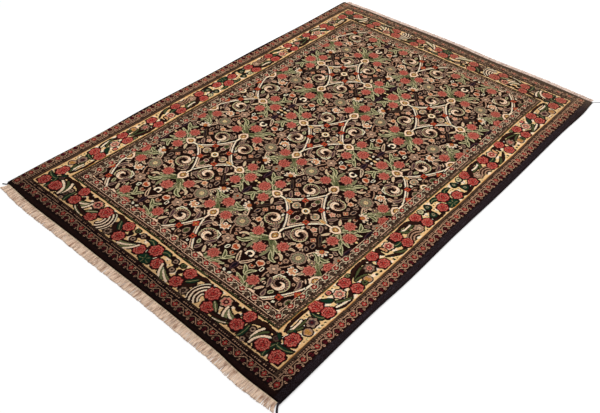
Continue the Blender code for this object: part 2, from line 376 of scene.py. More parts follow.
relief = add(tree, "Bump", {}, {"Height": fuzz, "Strength": 0.7, "Distance": 0.0006})
rough = add(tree, "MapRange", {}, {"Value": fuzz, "To Min": 0.78, "To Max": 0.98})
shader = tree.nodes["Principled BSDF"]
tree.links.new(colour.outputs[2], shader.inputs["Base Color"])
tree.links.new(rough.outputs["Result"], shader.inputs["Roughness"])
tree.links.new(relief.outputs["Normal"], shader.inputs["Normal"])
shader.inputs["IOR"].default_value = 1.55
shader.inputs["Specular IOR Level"].default_value = 0.1
shader.inputs["Sheen Weight"].default_value = 0.06

for side in ("left", "right"):
    points = wrapped_cord(side)
    rings = len(points)
    faces = ring_faces(rings, CORD_SIDES)[:, ::-1]
    caps = np.array([np.arange(CORD_SIDES), np.arange(CORD_SIDES)[::-1] + CORD_SIDES * (rings - 1)])
    piece = new_piece(f"overcast_{side}", points, faces, overcast_wool, caps)
    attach(piece, "root")
    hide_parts(f"selvedge_{side}")

# ---------------------------------------------------------------------------------------------
# The knotted pile. Wool yarn in two dozen dyed colours is knotted row by row round the
# cotton warps after a squared chart, then shorn to an even nap. The chart is drawn here as a
# weaver's cartoon of one quarter of the rug, of half-millimetre squares, which the folds repeat.

WOOLS = {  # the dyed yarns, as the photograph shows them in the middle of the rug
    "night": "#170903",
    "navy": "#120d15",
    "ivory": "#e3c3a4",
    "gold": "#d6ab78",
    "honey": "#a5733c",
    "tan": "#9c775e",
    "rose": "#9b483c",
    "brick": "#8c2f28",
    "crimson": "#992f2a",
    "wine": "#481015",
    "pink": "#b86858",
    "blush": "#c89f82",
    "ember": "#9c4526",
    "peach": "#c4885f",
    "leaf": "#6b6945",
    "moss": "#aaa078",
    "sage": "#796f55",
    "fir": "#122a1c",
    "olive": "#43472a",
    "stone": "#886c59",
    "ash": "#463428",
    "smoke": "#2f2529",
    "plum": "#432a2e",
    "umber": "#28140e",
}
WOOL_NUMBER = {name: number for number, name in enumerate(WOOLS)}
SQUARE = 0.5  # mm, a side of the chart's squares


class Chart:
    """Wool numbers on squares of the chart, from the corner at nought to a width and a length."""

    def __init__(self, wide, long, ground):
        shape = (round(long / SQUARE), round(wide / SQUARE))
        self.wool = np.full(shape, WOOL_NUMBER[ground], np.int8)
        self.turned = False
        self.start = (0.0, 0.0)

    def at(self, across, along):
        """The wool numbers at points of the chart."""
        row = np.clip((along / SQUARE).astype(int), 0, self.wool.shape[0] - 1)
        column = np.clip((across / SQUARE).astype(int), 0, self.wool.shape[1] - 1)
        return self.wool[row, column]

    def window(self, low_x, high_x, low_y, high_y):
        """The slices of the squares between two corners, and their middles."""
        rows = slice(max(0, int(low_y / SQUARE)), max(0, int(high_y / SQUARE) + 1))
        columns = slice(max(0, int(low_x / SQUARE)), max(0, int(high_x / SQUARE) + 1))
        part = self.wool[rows, columns]
        y = (np.arange(part.shape[0]) + rows.start + 0.5) * SQUARE
        x = (np.arange(part.shape[1]) + columns.start + 0.5) * SQUARE
        return part, x[None, :], y[:, None]

    def lay(self, part, layers):
        """Fills a window's squares with each layer's wool where it holds, the last on top."""
        for where, wool in layers:
            part[np.broadcast_to(where, part.shape)] = WOOL_NUMBER[wool]

    def put(self, motif, s, t, reach, turn=0.0, size=1.0, stretch=(1.0, 1.0), **choices):
        """Draws a motif centred at s along and t outward of the chart's present start and run."""
        across, along = (t, s) if self.turned else (s, t)
        x, y = self.start[0] + across, self.start[1] + along
        far = reach * size * max(stretch)
        part, across, along = self.window(x - far, x + far, y - far, y + far)
        if not part.size:
            return
        right, up = across - x, along - y
        if self.turned:
            right, up = up, right
        right, up = right / (size * stretch[0]), up / (size * stretch[1])
        c, d = np.cos(np.radians(turn)), np.sin(np.radians(turn))
        self.lay(part, motif(c * right + d * up, c * up - d * right, **choices))

    def sweep(self, motif, *points, half, **choices):
        """Draws a motif along the curve from its first point, bent towards its second, to its
        third. Each square's share along that curve and its distance from it go to the motif."""
        path = np.array(points, float)
        if self.turned:
            path = path[:, ::-1]
        path = path + self.start
        spare = half + 4
        low, high = path.min(axis=0) - spare, path.max(axis=0) + spare
        part, across, along = self.window(low[0], high[0], low[1], high[1])
        if not part.size:
            return
        legs = 12
        t = np.linspace(0, 1, legs + 1)[:, None]
        bent = (1 - t) ** 2 * path[0] + 2 * t * (1 - t) * path[1] + t * t * path[2]
        gap = np.full(part.shape, 1e9)
        share = np.zeros(part.shape)
        for i, (a, b) in enumerate(zip(bent, bent[1:])):
            d = b - a
            foot = np.clip(((across - a[0]) * d[0] + (along - a[1]) * d[1]) / (d @ d), 0, 1)
            this = np.hypot(across - a[0] - foot * d[0], along - a[1] - foot * d[1])
            nearer = this < gap
            gap = np.where(nearer, this, gap)
            share = np.where(nearer, (i + foot) / legs, share)
        self.lay(part, motif(share, gap, half, **choices))


def stem(share, gap, half, wool="blush", edge="night"):
    """An even line: all that lies within a half width of its curve, in a dark outline."""
    return [(gap < half + 2.2, edge), (gap < half, wool)]


def leaf(share, gap, half, wool="leaf", edge=None, rib=None):
    """A blade as wide as a sine of its share, in a dark outline. It may have an edge of another
    wool, and a midrib on the curve."""
    wide = half * np.sin(np.pi * share**0.75) ** 0.8
    layers = [(gap < wide + (5.2 if edge else 2.2), "night")]
    if edge:
        layers.append((gap < wide + 2.6, edge))
    layers.append((gap < wide, wool))
    if rib:
        layers.append(((gap < 1.1) & (wide > 2.4), rib))
    return layers


def rose(right, up, body="rose", shade="brick", outline="wine", light="pink", tips=None):
    """A full-blown rose: three whorls of petals, their edges cosines of the turn, with short pale
    strokes. It may have eight tips of sepals that stand out round it."""
    r, a = np.hypot(right, up), np.arctan2(up, right)
    rim = 21.5 * (1 + 0.06 * np.cos(7 * a + 0.4) + 0.05 * np.cos(12 * a))
    second = 13.5 + 1.8 * np.cos(5 * a + 1)
    third = 6.8 + 0.9 * np.cos(3 * a + 2)
    layers = []
    if tips:
        layers.append((r < rim + 6 + 2.5 * np.cos(8 * a + 1), "night"))
        layers.append(((r < rim + 6.5) & (np.cos(8 * a + 1) > 0.4), tips))
    layers += [(r < rim + 1.8, outline), (r < rim, body)]
    layers.append(((r < rim) & (r > second) & (np.cos(7 * a + 0.4 - 0.04 * r) < -0.9), outline))
    layers.append(((r < rim - 1.0) & (r > second + 2) & (np.cos(21 * a + 1.2) > 0.5), light))
    layers.append((abs(r - second) < 1.2, outline))
    layers.append(((r < second) & (r > third) & (np.cos(5 * a + 1 + 0.1 * r) < -0.86), shade))
    layers.append(((r < second - 2) & (r > third + 1.6) & (np.cos(15 * a) > 0.6), light))
    layers.append((abs(r - third) < 1.0, outline))
    layers.append(((r < third - 1) & (np.cos(3 * a) > 0.2) & (r > 2), shade))
    return layers


def blossom(right, up, body="ember", heart="gold", edge="blush", petals=5, wide=10.0):
    """A small open flower: petals as a cosine, edged and then outlined, round a ringed heart."""
    r, a = np.hypot(right, up), np.arctan2(up, right)
    rim = wide * (0.88 + 0.2 * np.cos(petals * a))
    return [
        (r < rim + 5.4, "night"),
        (r < rim + 2.6, edge),
        (r < rim, body),
        ((r < rim) & (np.cos(petals * a) < -0.7) & (r > 0.4 * wide), "umber"),
        (r < 0.42 * wide, "umber"),
        (r < 0.28 * wide, heart),
    ]


def tulip(right, up, body="ember", edge="blush"):
    """A flower seen from the side: three ellipses, the middle one tall, on a flat one as a foot."""
    layers = []
    for grow, wool in ((5.4, "night"), (2.6, edge), (0.0, body)):
        middle = np.hypot(right / (5 + grow), (up - 4) / (10 + grow)) < 1
        sides = np.hypot((abs(right) - 7) / (5.5 + grow), (up - 1) / (8 + grow)) < 1
        layers.append((middle | sides, wool))
    layers.append(((abs(abs(right) - 3.6) < 0.9) & (abs(up - 3) < 7), "wine"))
    layers.append((np.hypot(right / 8, (up + 9) / 4) < 1, edge))
    return layers


def palmette(right, up, body="peach", edge="ivory", vein="ember"):
    """A fan of five petals that open upward, each a cosine of the turn and with a vein, on a
    round foot."""
    r, a = np.hypot(right, up + 8), np.arctan2(right, up + 8)
    turn = np.clip(np.round(a / 0.56), -2, 2)
    rim = 26.5 * (1 - 0.05 * turn**2) * (0.82 + 0.18 * np.cos(a / 0.56 * 2 * np.pi)) ** 0.6
    fan = abs(a) < 1.45
    return [
        (fan & (r < rim + 5.2), "night"),
        (fan & (r < rim + 2.4), edge),
        (fan & (r < rim - 1.0), body),
        (fan & (r < rim - 4) & (abs(a - 0.56 * turn) * r < 1.1) & (r > 9), vein),
        (fan & (r < rim) & (abs(abs(a - 0.56 * turn) - 0.28) * r < 0.9) & (r > 7), "umber"),
        (r < 7.5, edge),
        (r < 4.5, vein),
    ]


def rosette(right, up):
    """The grey eight-lobed rosette, its rim a cosine of the turn: rings of dots and spokes round a
    gold ring."""
    r, a = np.hypot(right, up), np.arctan2(up, right)
    rim = 29 * (1 + 0.055 * np.cos(8 * a))
    return [
        (r < rim + 3.5, "night"),
        (r < rim, "stone"),
        ((r < rim - 2.6) & (np.cos(16 * a) < -0.4), "ash"),
        (r < 23.5, "ash"),
        (r < 22, "sage"),
        ((abs(r - 18.5) < 3.4) & (np.cos(16 * a) < -0.5), "ash"),
        ((r < 25) & (r > 14) & (np.cos(8 * a) < -0.96), "night"),
        (r < 14, "umber"),
        (r < 12, "stone"),
        (r < 9, "umber"),
        (abs(r - 6.5) < 1.4, "gold"),
        (r < 5, "umber"),
        (r < 2.4, "gold"),
    ]


def star_palmette(right, up):
    """A half daisy that opens upward: rays as a sine of the turn round an orange heart."""
    r, a = np.hypot(right, up), np.arctan2(up, right)
    rim = 9 + 18 * abs(np.sin(4.5 * (a + 0.35))) ** 0.8
    opens = up > -6
    return [
        ((r < rim + 3) & opens, "night"),
        ((r < rim) & opens, "ivory"),
        ((r < rim - 5) & opens & (r > 9), "blush"),
        (r < 11.5, "umber"),
        (r < 9, "ember"),
        (r < 5.5, "honey"),
        (r < 2.5, "umber"),
    ]


def cup(right, up):
    """The cup on a strap's end: a pointed oval, where powers of its two shares add to one, with a
    small lozenge on each side and on top, and a brown drop inside."""
    ring = (abs(right / 20) ** 1.7 + abs(up / 23.5) ** 1.7) ** (1 / 1.7)
    ears = (abs(abs(right) - 18) + abs(up + 7) < 5.5) | (abs(right) / 1.3 + abs(up - 23) < 4.5)
    drop = np.hypot(right / (1 - 0.3 * np.clip(up / 14, -1, 1)), up / 1.3)
    return [
        (ring < 1.2, "night"),
        ((ring < 1.0) | ears, "blush"),
        ((ring < 0.93) & (ring > 0.74), "ivory"),
        (ring < 0.64, "night"),
        (drop < 8.4, "honey"),
        (drop < 5.4, "umber"),
        (drop < 3.0, "gold"),
    ]


def volute(right, up, flare=False):
    """A C scroll: it winds inward as a power of the angle swept and swells as a bell curve to a
    round belly. The taller lozenges' scrolls flare to a point at their outer corner."""
    r, a = np.hypot(right, up), np.degrees(np.arctan2(up, right))
    layers = [(r < 38, "night")]
    if flare:
        corner = np.maximum(right, up) + 0.25 * np.minimum(right, up)
        pointed = (right > 8) & (up > 8)
        layers += [(pointed & (corner < 43), "night"), (pointed & (corner < 40), "ivory")]
        layers.append((pointed & (corner < 36.5), "night"))
    for lap in (0, 360):
        swept = (228 - a) % 360 + lap
        wound = swept < 530
        path = 33.0 * (1 - 0.78 * np.clip((swept - 205) / 330, 0, 1) ** 0.75)
        half = 1.6 + 5.6 * np.exp(-(((swept - 385) / 90) ** 2))
        gap = r - path
        band = wound & (swept < 330) & (gap < -0.5) & (gap > -11.0)
        ticks = np.cos(np.radians(swept) * 19) > 0.45
        layers.append((band, "smoke"))
        layers.append((band & ticks, "tan"))
        layers.append((wound & (abs(gap) < half + 3.0) & (swept > 250), "night"))
        layers.append((wound & (abs(gap) < half - 0.2), "moss"))
        layers.append((wound & (abs(gap) < half - 0.2) & (swept > 250), "blush"))
        layers.append((wound & (abs(gap - 0.6) < half - 1.8) & (swept > 320), "ivory"))
        layers.append((wound & (abs(gap - 1.0) < half - 5.6) & (swept > 320), "honey"))
    layers.append((r < 4.5, "night"))
    return layers


def strap(right, up, span=(104.0, 126.0), power=0.78):
    """The strapwork: double lines where shares of its two spans, each to a power, add to one."""
    x, y = abs(right) + 1e-3, abs(up) + 1e-3
    total = (x / span[0]) ** power + (y / span[1]) ** power
    slope_x = power / span[0] * (x / span[0]) ** (power - 1)
    slope_y = power / span[1] * (y / span[1]) ** (power - 1)
    gap = (total - 1) / np.hypot(slope_x, slope_y)
    near = (x < span[0] + 2) & (y < span[1] + 2)
    return [
        (near & (gap < 8.5) & (gap > -13.5), "night"),
        (near & (abs(gap - 0.8) < 2.5), "ivory"),
        (near & (abs(gap + 7.6) < 1.5), "blush"),
    ]


def disc(right, up, ring="blush", body="sage", heart="umber"):
    """A ringed round, by the distance from its middle: a pale ring in a dark outline, then its body
    and heart."""
    r = np.hypot(right, up)
    return [
        (r < 19.5, "night"),
        (r < 16.5, ring),
        (r < 13.2, "umber"),
        (r < 11.4, body),
        (r < 5.5, "umber"),
        (r < 3.6, heart),
    ]


def star(right, up, wide=15.5):
    """A lozenge's centre: an ivory ring on a dark round. Four grey spokes leave it where the sine
    of twice the turn is small, and four grey marks stand where the cosine is."""
    r, a = np.hypot(right, up), np.arctan2(up, right)
    return [
        (r < 33, "night"),
        ((r < 31) & (r > wide) & (abs(np.sin(2 * a)) * r < 5.5), "stone"),
        ((r < 31) & (r > wide) & (abs(np.sin(2 * a)) * r < 2.0), "umber"),
        ((abs(r - 26) < 3) & (abs(np.cos(2 * a)) < 0.25), "ash"),
        (r < wide, "gold"),
        (r < wide - 2, "ivory"),
        (r < wide - 6.5, "olive"),
        (r < wide - 9, "night"),
        (r < 2.6, "honey"),
    ]


def horseshoe(right, up):
    """A pale horseshoe, an ellipse cut off above, round a dark pointed drop."""
    outer = np.hypot(right, up / 1.15)
    drop = np.hypot(right / (1 - 0.5 * np.clip(up / 12, -1, 1)), up / 1.2)
    shoe = (outer < 15.5) & (up < 8)
    return [(outer < 19, "night"), (shoe, "ivory"), (drop < 8.5, "night"), (drop < 4, "umber")]


def wheel(right, up, rim_wool="stone", inside="leaf", middle="pink", wide=17.0):
    """A six-lobed wheel, its rim a cosine of the turn, with rings inside."""
    r, a = np.hypot(right, up), np.arctan2(up, right)
    rim = wide * (1 + 0.14 * np.cos(6 * a))
    return [
        (r < rim + 3.0, "night"),
        (r < rim, rim_wool),
        ((r < rim - 2.4) & (np.cos(6 * a) < -0.6), "umber"),
        (r < 0.62 * wide, "umber"),
        (r < 0.54 * wide, inside),
        (r < 0.36 * wide, middle),
        (r < 0.18 * wide, "wine"),
    ]


def draw_lozenge(chart, span, cups, scroll, oval, flare):
    """A lozenge of strapwork with what it holds, and close round it its scrolls and small leaves.
    span is half its width and height; cups, scroll and oval say how far out those stand."""
    put, sweep = chart.put, chart.sweep
    put(strap, 0, 0, 160, span=span)
    put(disc, 0, oval, 22, size=0.72, stretch=(1.0, 1.35), body="olive", ring="stone")
    put(disc, 45, 0, 22, size=0.92, stretch=(1.0, 1.1), heart="peach")
    put(blossom, 38, 0.5 * span[1] - 20, 20, turn=45, petals=4, heart="umber", edge="brick")
    put(star, 0, 0, 34)
    sweep(leaf, (69, 0), (82, 0), (97, 0), half=4.0, wool="honey", edge="gold")
    sweep(stem, (22, 24), (30, 30), (26, 42), half=1.3, wool="tan")
    sweep(stem, (span[0] - 3, 0), (cups[0] - 24, 0), (cups[0] - 16, 0), half=3.2, wool="ivory")
    sweep(stem, (0, span[1] - 6), (0, cups[1] - 30), (0, cups[1] - 18), half=3.2, wool="ivory")
    out, top = cups
    dull = {"wool": "plum", "edge": "stone"}
    sweep(leaf, (26, top - 52), (40, top - 30), (52, top - 26), half=5.0, **dull)
    put(volute, *scroll, 56, flare=flare)
    sweep(leaf, (0.86 * span[0], 22), (out - 36, 30), (out - 30, 48), half=4.6, **dull)
    sweep(leaf, (14, top - 30), (24, top - 20), (30, top - 14), half=2.0, wool="blush")


def draw_side_bouquet(chart, tip, end):
    """The bouquet off a lozenge's side: three roses, with hooked leaves up beside them. tip and end
    are how far out its cup and its last rose stand."""
    put, sweep = chart.put, chart.sweep
    sweep(leaf, (tip + 8, 0), (tip + 24, 24), (tip + 6, 78), half=5.0, wool="olive", edge="moss")
    sweep(leaf, (tip + 20, 6), (tip + 50, 30), (tip + 70, 62), half=5.4, wool="olive", edge="moss")
    sweep(leaf, (tip + 40, 18), (tip + 62, 26), (tip + 88, 36), half=4.4, wool="leaf", edge="moss")
    sweep(leaf, (tip + 64, 48), (tip + 74, 66), (tip + 94, 80), half=5.0, wool="olive", edge="moss")
    sweep(leaf, (tip + 66, 54), (tip + 66, 70), (tip + 48, 84), half=4.2, wool="olive", edge="moss")
    sweep(leaf, (tip - 3, 28), (tip - 10, 42), (tip - 18, 52), half=2.6, wool="moss", edge="blush")
    put(rose, tip + 27, 49, 30, size=0.92, tips="tan")
    put(rose, end, 0, 32, size=1.04, tips="tan")
    sweep(leaf, (end + 24, 0), (0.5 * end + 133, 0), (240, 0), half=4.4, wool="gold")
    put(cup, tip, 0, 34, turn=-90, size=0.95)


def draw_top_bouquet(chart, tip, apart):
    """The bouquet over a lozenge's top: three roses, and broad leaves that end in pale hooks."""
    put, sweep = chart.put, chart.sweep
    broad = {"wool": "leaf", "edge": "moss", "rib": "olive"}
    sweep(leaf, (2, tip + 16), (38, tip + 40), (88, tip + 62), half=7.0, **broad)
    sweep(leaf, (70, tip + 56), (88, tip + 54), (96, tip + 72), half=2.6, wool="moss", edge="blush")
    sweep(leaf, (6, tip + 28), (42, tip + 56), (70, tip + 86), half=5.6, **broad)
    sweep(leaf, (46, tip + 66), (62, tip + 98), (88, tip + 92), half=4.6, wool="olive", edge="moss")
    sweep(leaf, (26, tip + 56), (36, tip + 82), (30, tip + 104), half=4.0, wool="leaf", edge="sage")
    sweep(leaf, (0, tip + 20), (12, tip + 28), (24, tip + 46), half=6.5, wool="olive", edge="leaf")
    hook = {"wool": "leaf", "edge": "blush"}
    sweep(leaf, (apart + 6, tip), (apart + 12, tip - 10), (apart + 22, tip - 20), half=3.0, **hook)
    root, bend, point = (apart + 20, tip + 14), (apart + 32, tip + 8), (apart + 42, tip + 10)
    sweep(leaf, root, bend, point, half=2.4, **hook)
    put(rose, apart, tip + 21, 30, size=0.92, tips="tan")
    put(rose, 0, tip + 76, 32, size=1.02, tips="tan")
    put(cup, 0, tip, 36)


# The field's repeat, one quarter of the space round a lozenge: the next row's lozenge stands
# at its opposite corner, narrower and taller, as the weaver drew it in.
REPEAT = (242.0, 412.0)
repeat = Chart(*REPEAT, "night")
other = Chart(*REPEAT, "night")
draw_side_bouquet(other, 122, 196)
draw_top_bouquet(other, 183, 44)
draw_lozenge(other, (97.0, 148.0), (122, 183), (74, 94), 56, True)
other.put(blossom, 0, 101, 22, petals=4, heart="honey", edge="brick", wide=11)
draw_side_bouquet(repeat, 140, 205)
draw_top_bouquet(repeat, 165, 59)
draw_lozenge(repeat, (104.0, 126.0), (140, 165), (63, 103), 68, False)
repeat.put(disc, 0, 47, 20, size=0.62, ring="blush", body="plum", heart="pink")
x = (np.arange(repeat.wool.shape[1]) + 0.5) * SQUARE
y = (np.arange(repeat.wool.shape[0]) + 0.5) * SQUARE
from_other = other.at((REPEAT[0] - x)[None, :], (REPEAT[1] - y)[:, None])
theirs = (REPEAT[0] - x)[None, :] / REPEAT[0] + (REPEAT[1] - y)[:, None] / REPEAT[1] < 1.0
theirs = theirs | (repeat.wool == WOOL_NUMBER["night"])
repeat.wool = np.where(theirs & (from_other != WOOL_NUMBER["night"]), from_other, repeat.wool)
put, sweep = repeat.put, repeat.sweep
sweep(stem, (133, 189), (140, 150), (166, 118), half=1.7, wool="blush")
sweep(stem, (108, 280), (96, 310), (104, 332), half=1.7, wool="tan")
sweep(stem, (133, 189), (150, 230), (118, 262), half=1.7, wool="tan")
sweep(leaf, (4, 336), (18, 326), (30, 296), half=3.6, wool="umber", edge="blush")
sweep(leaf, (0, 340), (0, 356), (0, 376), half=6.0, wool="navy", edge="plum")
sweep(leaf, (242, 82), (238, 60), (242, 36), half=4.0, wool="navy", edge="plum")
sweep(leaf, (118, 60), (132, 70), (150, 100), half=4.0, wool="navy", edge="ash")
sweep(leaf, (182, 262), (196, 270), (214, 258), half=4.6, wool="tan", edge="blush", rib="umber")
sweep(leaf, (206, 262), (226, 280), (220, 300), half=5.0, wool="plum", edge="stone")
sweep(leaf, (128, 316), (140, 330), (146, 352), half=5.0, wool="plum", edge="stone")
sweep(leaf, (186, 140), (206, 148), (220, 134), half=4.4, wool="olive", edge="moss")
put(blossom, 108, 282, 28, turn=20, petals=6, body="stone", heart="blush", edge="tan", wide=19)
put(blossom, 97, 144, 22, petals=6, body="peach", heart="ember", wide=10)
put(blossom, 115, 92, 18, petals=4, edge="tan", wide=8.5)
put(blossom, 84, 52, 20, body="pink", wide=9.5)
put(blossom, 27, 128, 18, petals=6, body="plum", heart="stone", edge="stone", wide=9)
put(blossom, 182, 176, 18, body="plum", edge="stone", wide=9)
put(tulip, 57, 292, 24, turn=-20)
put(horseshoe, 0, 287, 22)
put(palmette, 160, 246, 34, turn=35)
put(rosette, 133, 190, 34)
put(star_palmette, 173, 114, 34, turn=-35, size=0.9)
put(wheel, 242, 108, 26, inside="sage", middle="ember")


def sprig_leaf(right, up, wide, core, edge):
    """A short leaf across its round: as wide as a power of one less its share squared, on a line
    that bends as a sine, with an edge of another wool."""
    half = 0.62 * wide * np.clip(1 - (right / wide) ** 2, 0, 1) ** 0.8
    gap = abs(up - 0.12 * wide * np.sin(2.6 * right / wide))
    return [(gap < half, edge), (gap < half - 2.8, core)]


def sprig_curl(right, up, wide, core, edge):
    """A curled tendril: most of a ring, by its turn and its distance, with a berry inside."""
    r, a = np.hypot(right, up), np.arctan2(up, right)
    return [((abs(r - 0.8 * wide) < 0.18 * wide) & (abs(a) < 2.3), edge), (r < 0.3 * wide, core)]


def sprig_flower(right, up, wide, core, edge):
    """An open flower that fills its round: five petals as a cosine of the turn."""
    r, a = np.hypot(right, up), np.arctan2(up, right)
    rim = wide * (0.84 + 0.16 * np.cos(5 * a))
    return [(r < rim, edge), (r < rim - 2.8, core), (r < 0.3 * wide, "umber")]


SEARCH_STEP = 1.6  # mm from one place that is tried for a sprig to the next


def fill_ground(chart, ground, rooms, sprigs, spare, seed, keep=None):
    """Sets sprigs in the open ground, the widest rooms first, each where a round of bare ground
    that wide holds it, with spare millimetres about it. sprigs are (motif, core, edge), dealt out
    in a seeded order. keep says from where to where, along and then across."""
    rng = np.random.default_rng(seed)
    rows, columns = chart.wool.shape
    low_y, high_y, low_x, high_x = keep or (0, rows * SQUARE, 0, columns * SQUARE)
    for room in rooms:
        n = int(room / SQUARE)
        span = np.arange(-n, n + 1)
        inside = span[:, None] ** 2 + span[None, :] ** 2 <= n * n
        for y in np.arange(low_y, high_y, SEARCH_STEP):
            for x in np.arange(low_x, high_x, SEARCH_STEP):
                i, j = int(y / SQUARE), int(x / SQUARE)
                part = chart.wool[max(i - n, 0) : i + n + 1, max(j - n, 0) : j + n + 1]
                if chart.wool[min(i, rows - 1), min(j, columns - 1)] != WOOL_NUMBER[ground]:
                    continue
                if part.shape != inside.shape or (part[inside] != WOOL_NUMBER[ground]).any():
                    continue
                motif, core, edge = sprigs[rng.integers(len(sprigs))]
                turn = 70 * np.sin(x / 31) + 80 * np.cos(y / 43) + rng.uniform(-25, 25)
                wide = room - spare
                chart.put(motif, x, y, room, turn=turn, wide=wide, core=core, edge=edge)


def motif_gap(bare, most):
    """How far each bare square lies from a motif, in mm: the motifs are grown a square at a time,
    every second time over the diagonals too, and the count is kept."""
    gap = np.where(bare, 2 * most, 0.0)
    grown = ~bare
    for count in range(1, int(most / SQUARE) + 1):
        wider = grown.copy()
        wider[1:] |= grown[:-1]
        wider[:-1] |= grown[1:]
        beside = wider.copy() if count % 2 else grown.copy()
        wider[:, 1:] |= beside[:, :-1]
        wider[:, :-1] |= beside[:, 1:]
        gap[wider & ~grown] = count * SQUARE
        grown = wider
    return gap


def outline_motifs(chart, ground, keep, wide, wools):
    """Knots the ground dark round every motif, wide millimetres out from it, as vines and outlines
    that run into each other. Slow sums of sines deal the wools out along them."""
    part, x, y = chart.window(keep[2], keep[3], keep[0], keep[1])
    gap = motif_gap(part == WOOL_NUMBER[ground], wide + 1)
    pick = 0.5 + 0.25 * np.sin(x / 13 + 1.3 * np.sin(y / 21))
    pick = pick + 0.25 * np.sin(y / 15 + 1.7 * np.sin(x / 27))
    number = (pick * 2.6 * len(wools)).astype(int) % len(wools)
    for i, wool in enumerate(wools):
        part[(gap > 0) & (gap <= wide) & (number == i)] = WOOL_NUMBER[wool]


FIELD_SPRIGS = (
    (sprig_leaf, "umber", "blush"),
    (sprig_leaf, "olive", "moss"),
    (sprig_flower, "plum", "tan"),
    (sprig_leaf, "night", "tan"),
    (sprig_curl, "ember", "tan"),
    (sprig_leaf, "night", "ivory"),
    (sprig_leaf, "navy", "stone"),
    (sprig_curl, "umber", "blush"),
    (sprig_leaf, "plum", "stone"),
    (sprig_flower, "brick", "tan"),
)
fill_ground(repeat, "night", (18, 15, 12.5, 10.5), FIELD_SPRIGS, 3.8, 5)

# The whole quarter: the field, then its frame of guard stripes and the rose border. The bands
# begin so many millimetres from the design's middle, on the long sides and at the ends.
BANDS_ACROSS = (487, 517, 535, 539, 634, 638, 657, 682)
BANDS_ALONG = (812, 843, 862, 866, 960, 964, 990, 1016)
QUARTER = (712, 1052)
DESIGN_MIDDLE = (689, 1045)  # the middle of the design on the pile, a little off the pile's own
DOTS = 8.4  # mm from one dot of a stripe to the next
quarter = Chart(*QUARTER, "night")
x = ((np.arange(quarter.wool.shape[1]) + 0.5) * SQUARE)[None, :]
y = ((np.arange(quarter.wool.shape[0]) + 0.5) * SQUARE)[:, None]
column = abs((x + REPEAT[0]) % (2 * REPEAT[0]) - REPEAT[0])
row = abs((y + REPEAT[1]) % (2 * REPEAT[1]) - REPEAT[1])
# the rug's middle is a lozenge of the other row, so the fold starts at the far corner
quarter.wool = repeat.at(REPEAT[0] - column, REPEAT[1] - row)
band_x = np.searchsorted(BANDS_ACROSS, x, side="right")
band_y = np.searchsorted(BANDS_ALONG, y, side="right")
band = np.maximum(band_x, band_y)
on_side = band_x >= band_y
inner_x = np.array([0, *BANDS_ACROSS])[band_x]
inner_y = np.array([0, *BANDS_ALONG])[band_y]
out = np.where(on_side, x - inner_x, y - inner_y)  # how far into its band, outward
run = np.where(on_side, y, x)  # how far along it, from its middle
# the border and the two thin bands beside it have a gold ground
quarter.wool[(band >= 3) & (band <= 5)] = WOOL_NUMBER["gold"]


def peony(right, up, body="pink", edge="blush", inside="honey"):
    """A ringed peony: a scalloped edge as a cosine of the turn, dark marks between its petals, and
    a dark-ringed heart."""
    r, a = np.hypot(right, up), np.arctan2(up, right)
    rim = 19 * (1 + 0.1 * np.cos(7 * a))
    return [
        (r < rim + 3.2, "night"),
        (r < rim, edge),
        (r < rim - 3.6, body),
        ((r < rim - 3.2) & (np.cos(7 * a) < -0.6), "umber"),
        (r < 10.5, "night"),
        ((r < 8.8) & (np.cos(6 * a) > -0.4), inside),
        (r < 3.6, edge),
    ]


def bud(right, up, body="olive", edge="night"):
    """A pear-shaped bud: an ellipse that narrows evenly upward, on two sepals, pale-hearted."""
    swell = 10.5 - 0.34 * np.clip(up, -20, 20)
    pear = np.hypot(right * 9.5 / np.clip(swell, 2, 20), up * 0.72)
    sepals = (abs(abs(right) - 8 - 0.2 * up) < 2.6) & (abs(up + 9) < 6)
    return [
        (pear < 12.5, edge),
        (sepals, edge),
        (pear < 9.4, body),
        (pear < 4.8, "sage"),
        (pear < 2.4, "gold"),
    ]


def fan(right, up, wool="fir", vein="leaf"):
    """A broad dark leaf: five lobes as the size of a cosine of the turn, with paler veins."""
    r, a = np.hypot(right, up / 0.8), np.arctan2(up, right)
    rim = 24 * (0.84 + 0.16 * abs(np.cos(2.5 * (a - np.pi / 2))))
    veins = (abs(np.sin(2.5 * (a - np.pi / 2))) < 0.16) & (r > 5)
    return [(r < rim + 2.4, "night"), (r < rim, wool), ((r < rim - 5) & veins, vein)]


def knob(right, up, body="stone", heart="gold", edge="night", wide=8.0):
    """A small round flower, by the distance from its middle: a dark ring round its body, and one
    round its heart."""
    r = np.hypot(right, up)
    return [
        (r < wide + 2.6, edge),
        (r < wide, body),
        (r < 0.56 * wide, edge),
        (r < 0.34 * wide, heart),
    ]


def comma(right, up, wool="night", wide=9.0):
    """A curled petal: a round with a tail that leaves it sideways, thinning as it goes."""
    head = np.hypot(right, up) < 0.62 * wide
    arc = abs(np.hypot(right - 0.5 * wide, up + 0.9 * wide) - 1.1 * wide)
    tail = arc < 0.34 * wide * np.clip(1 - right / (2 * wide), 0, 1)
    return [(head | (tail & (up > -0.6 * wide) & (right > -0.2 * wide)), wool)]


def shadow(right, up, wide=26.0, wool="night"):
    """A round scalloped as a cosine of the turn, the thick dark outline behind a rose."""
    r, a = np.hypot(right, up), np.arctan2(up, right)
    return [(r < wide * (0.88 + 0.12 * np.cos(5 * a)), wool)]


def draw_rose(chart, s, t, size=1.0, turn=0.0):
    """One of the border's roses: crimson, on a dark scalloped shadow."""
    chart.put(shadow, s + 2, t + 2, 34, turn=turn, size=1.05 * size)
    chart.put(rose, s, t, 30, turn=turn, size=size, body="crimson", shade="wine", light="pink")


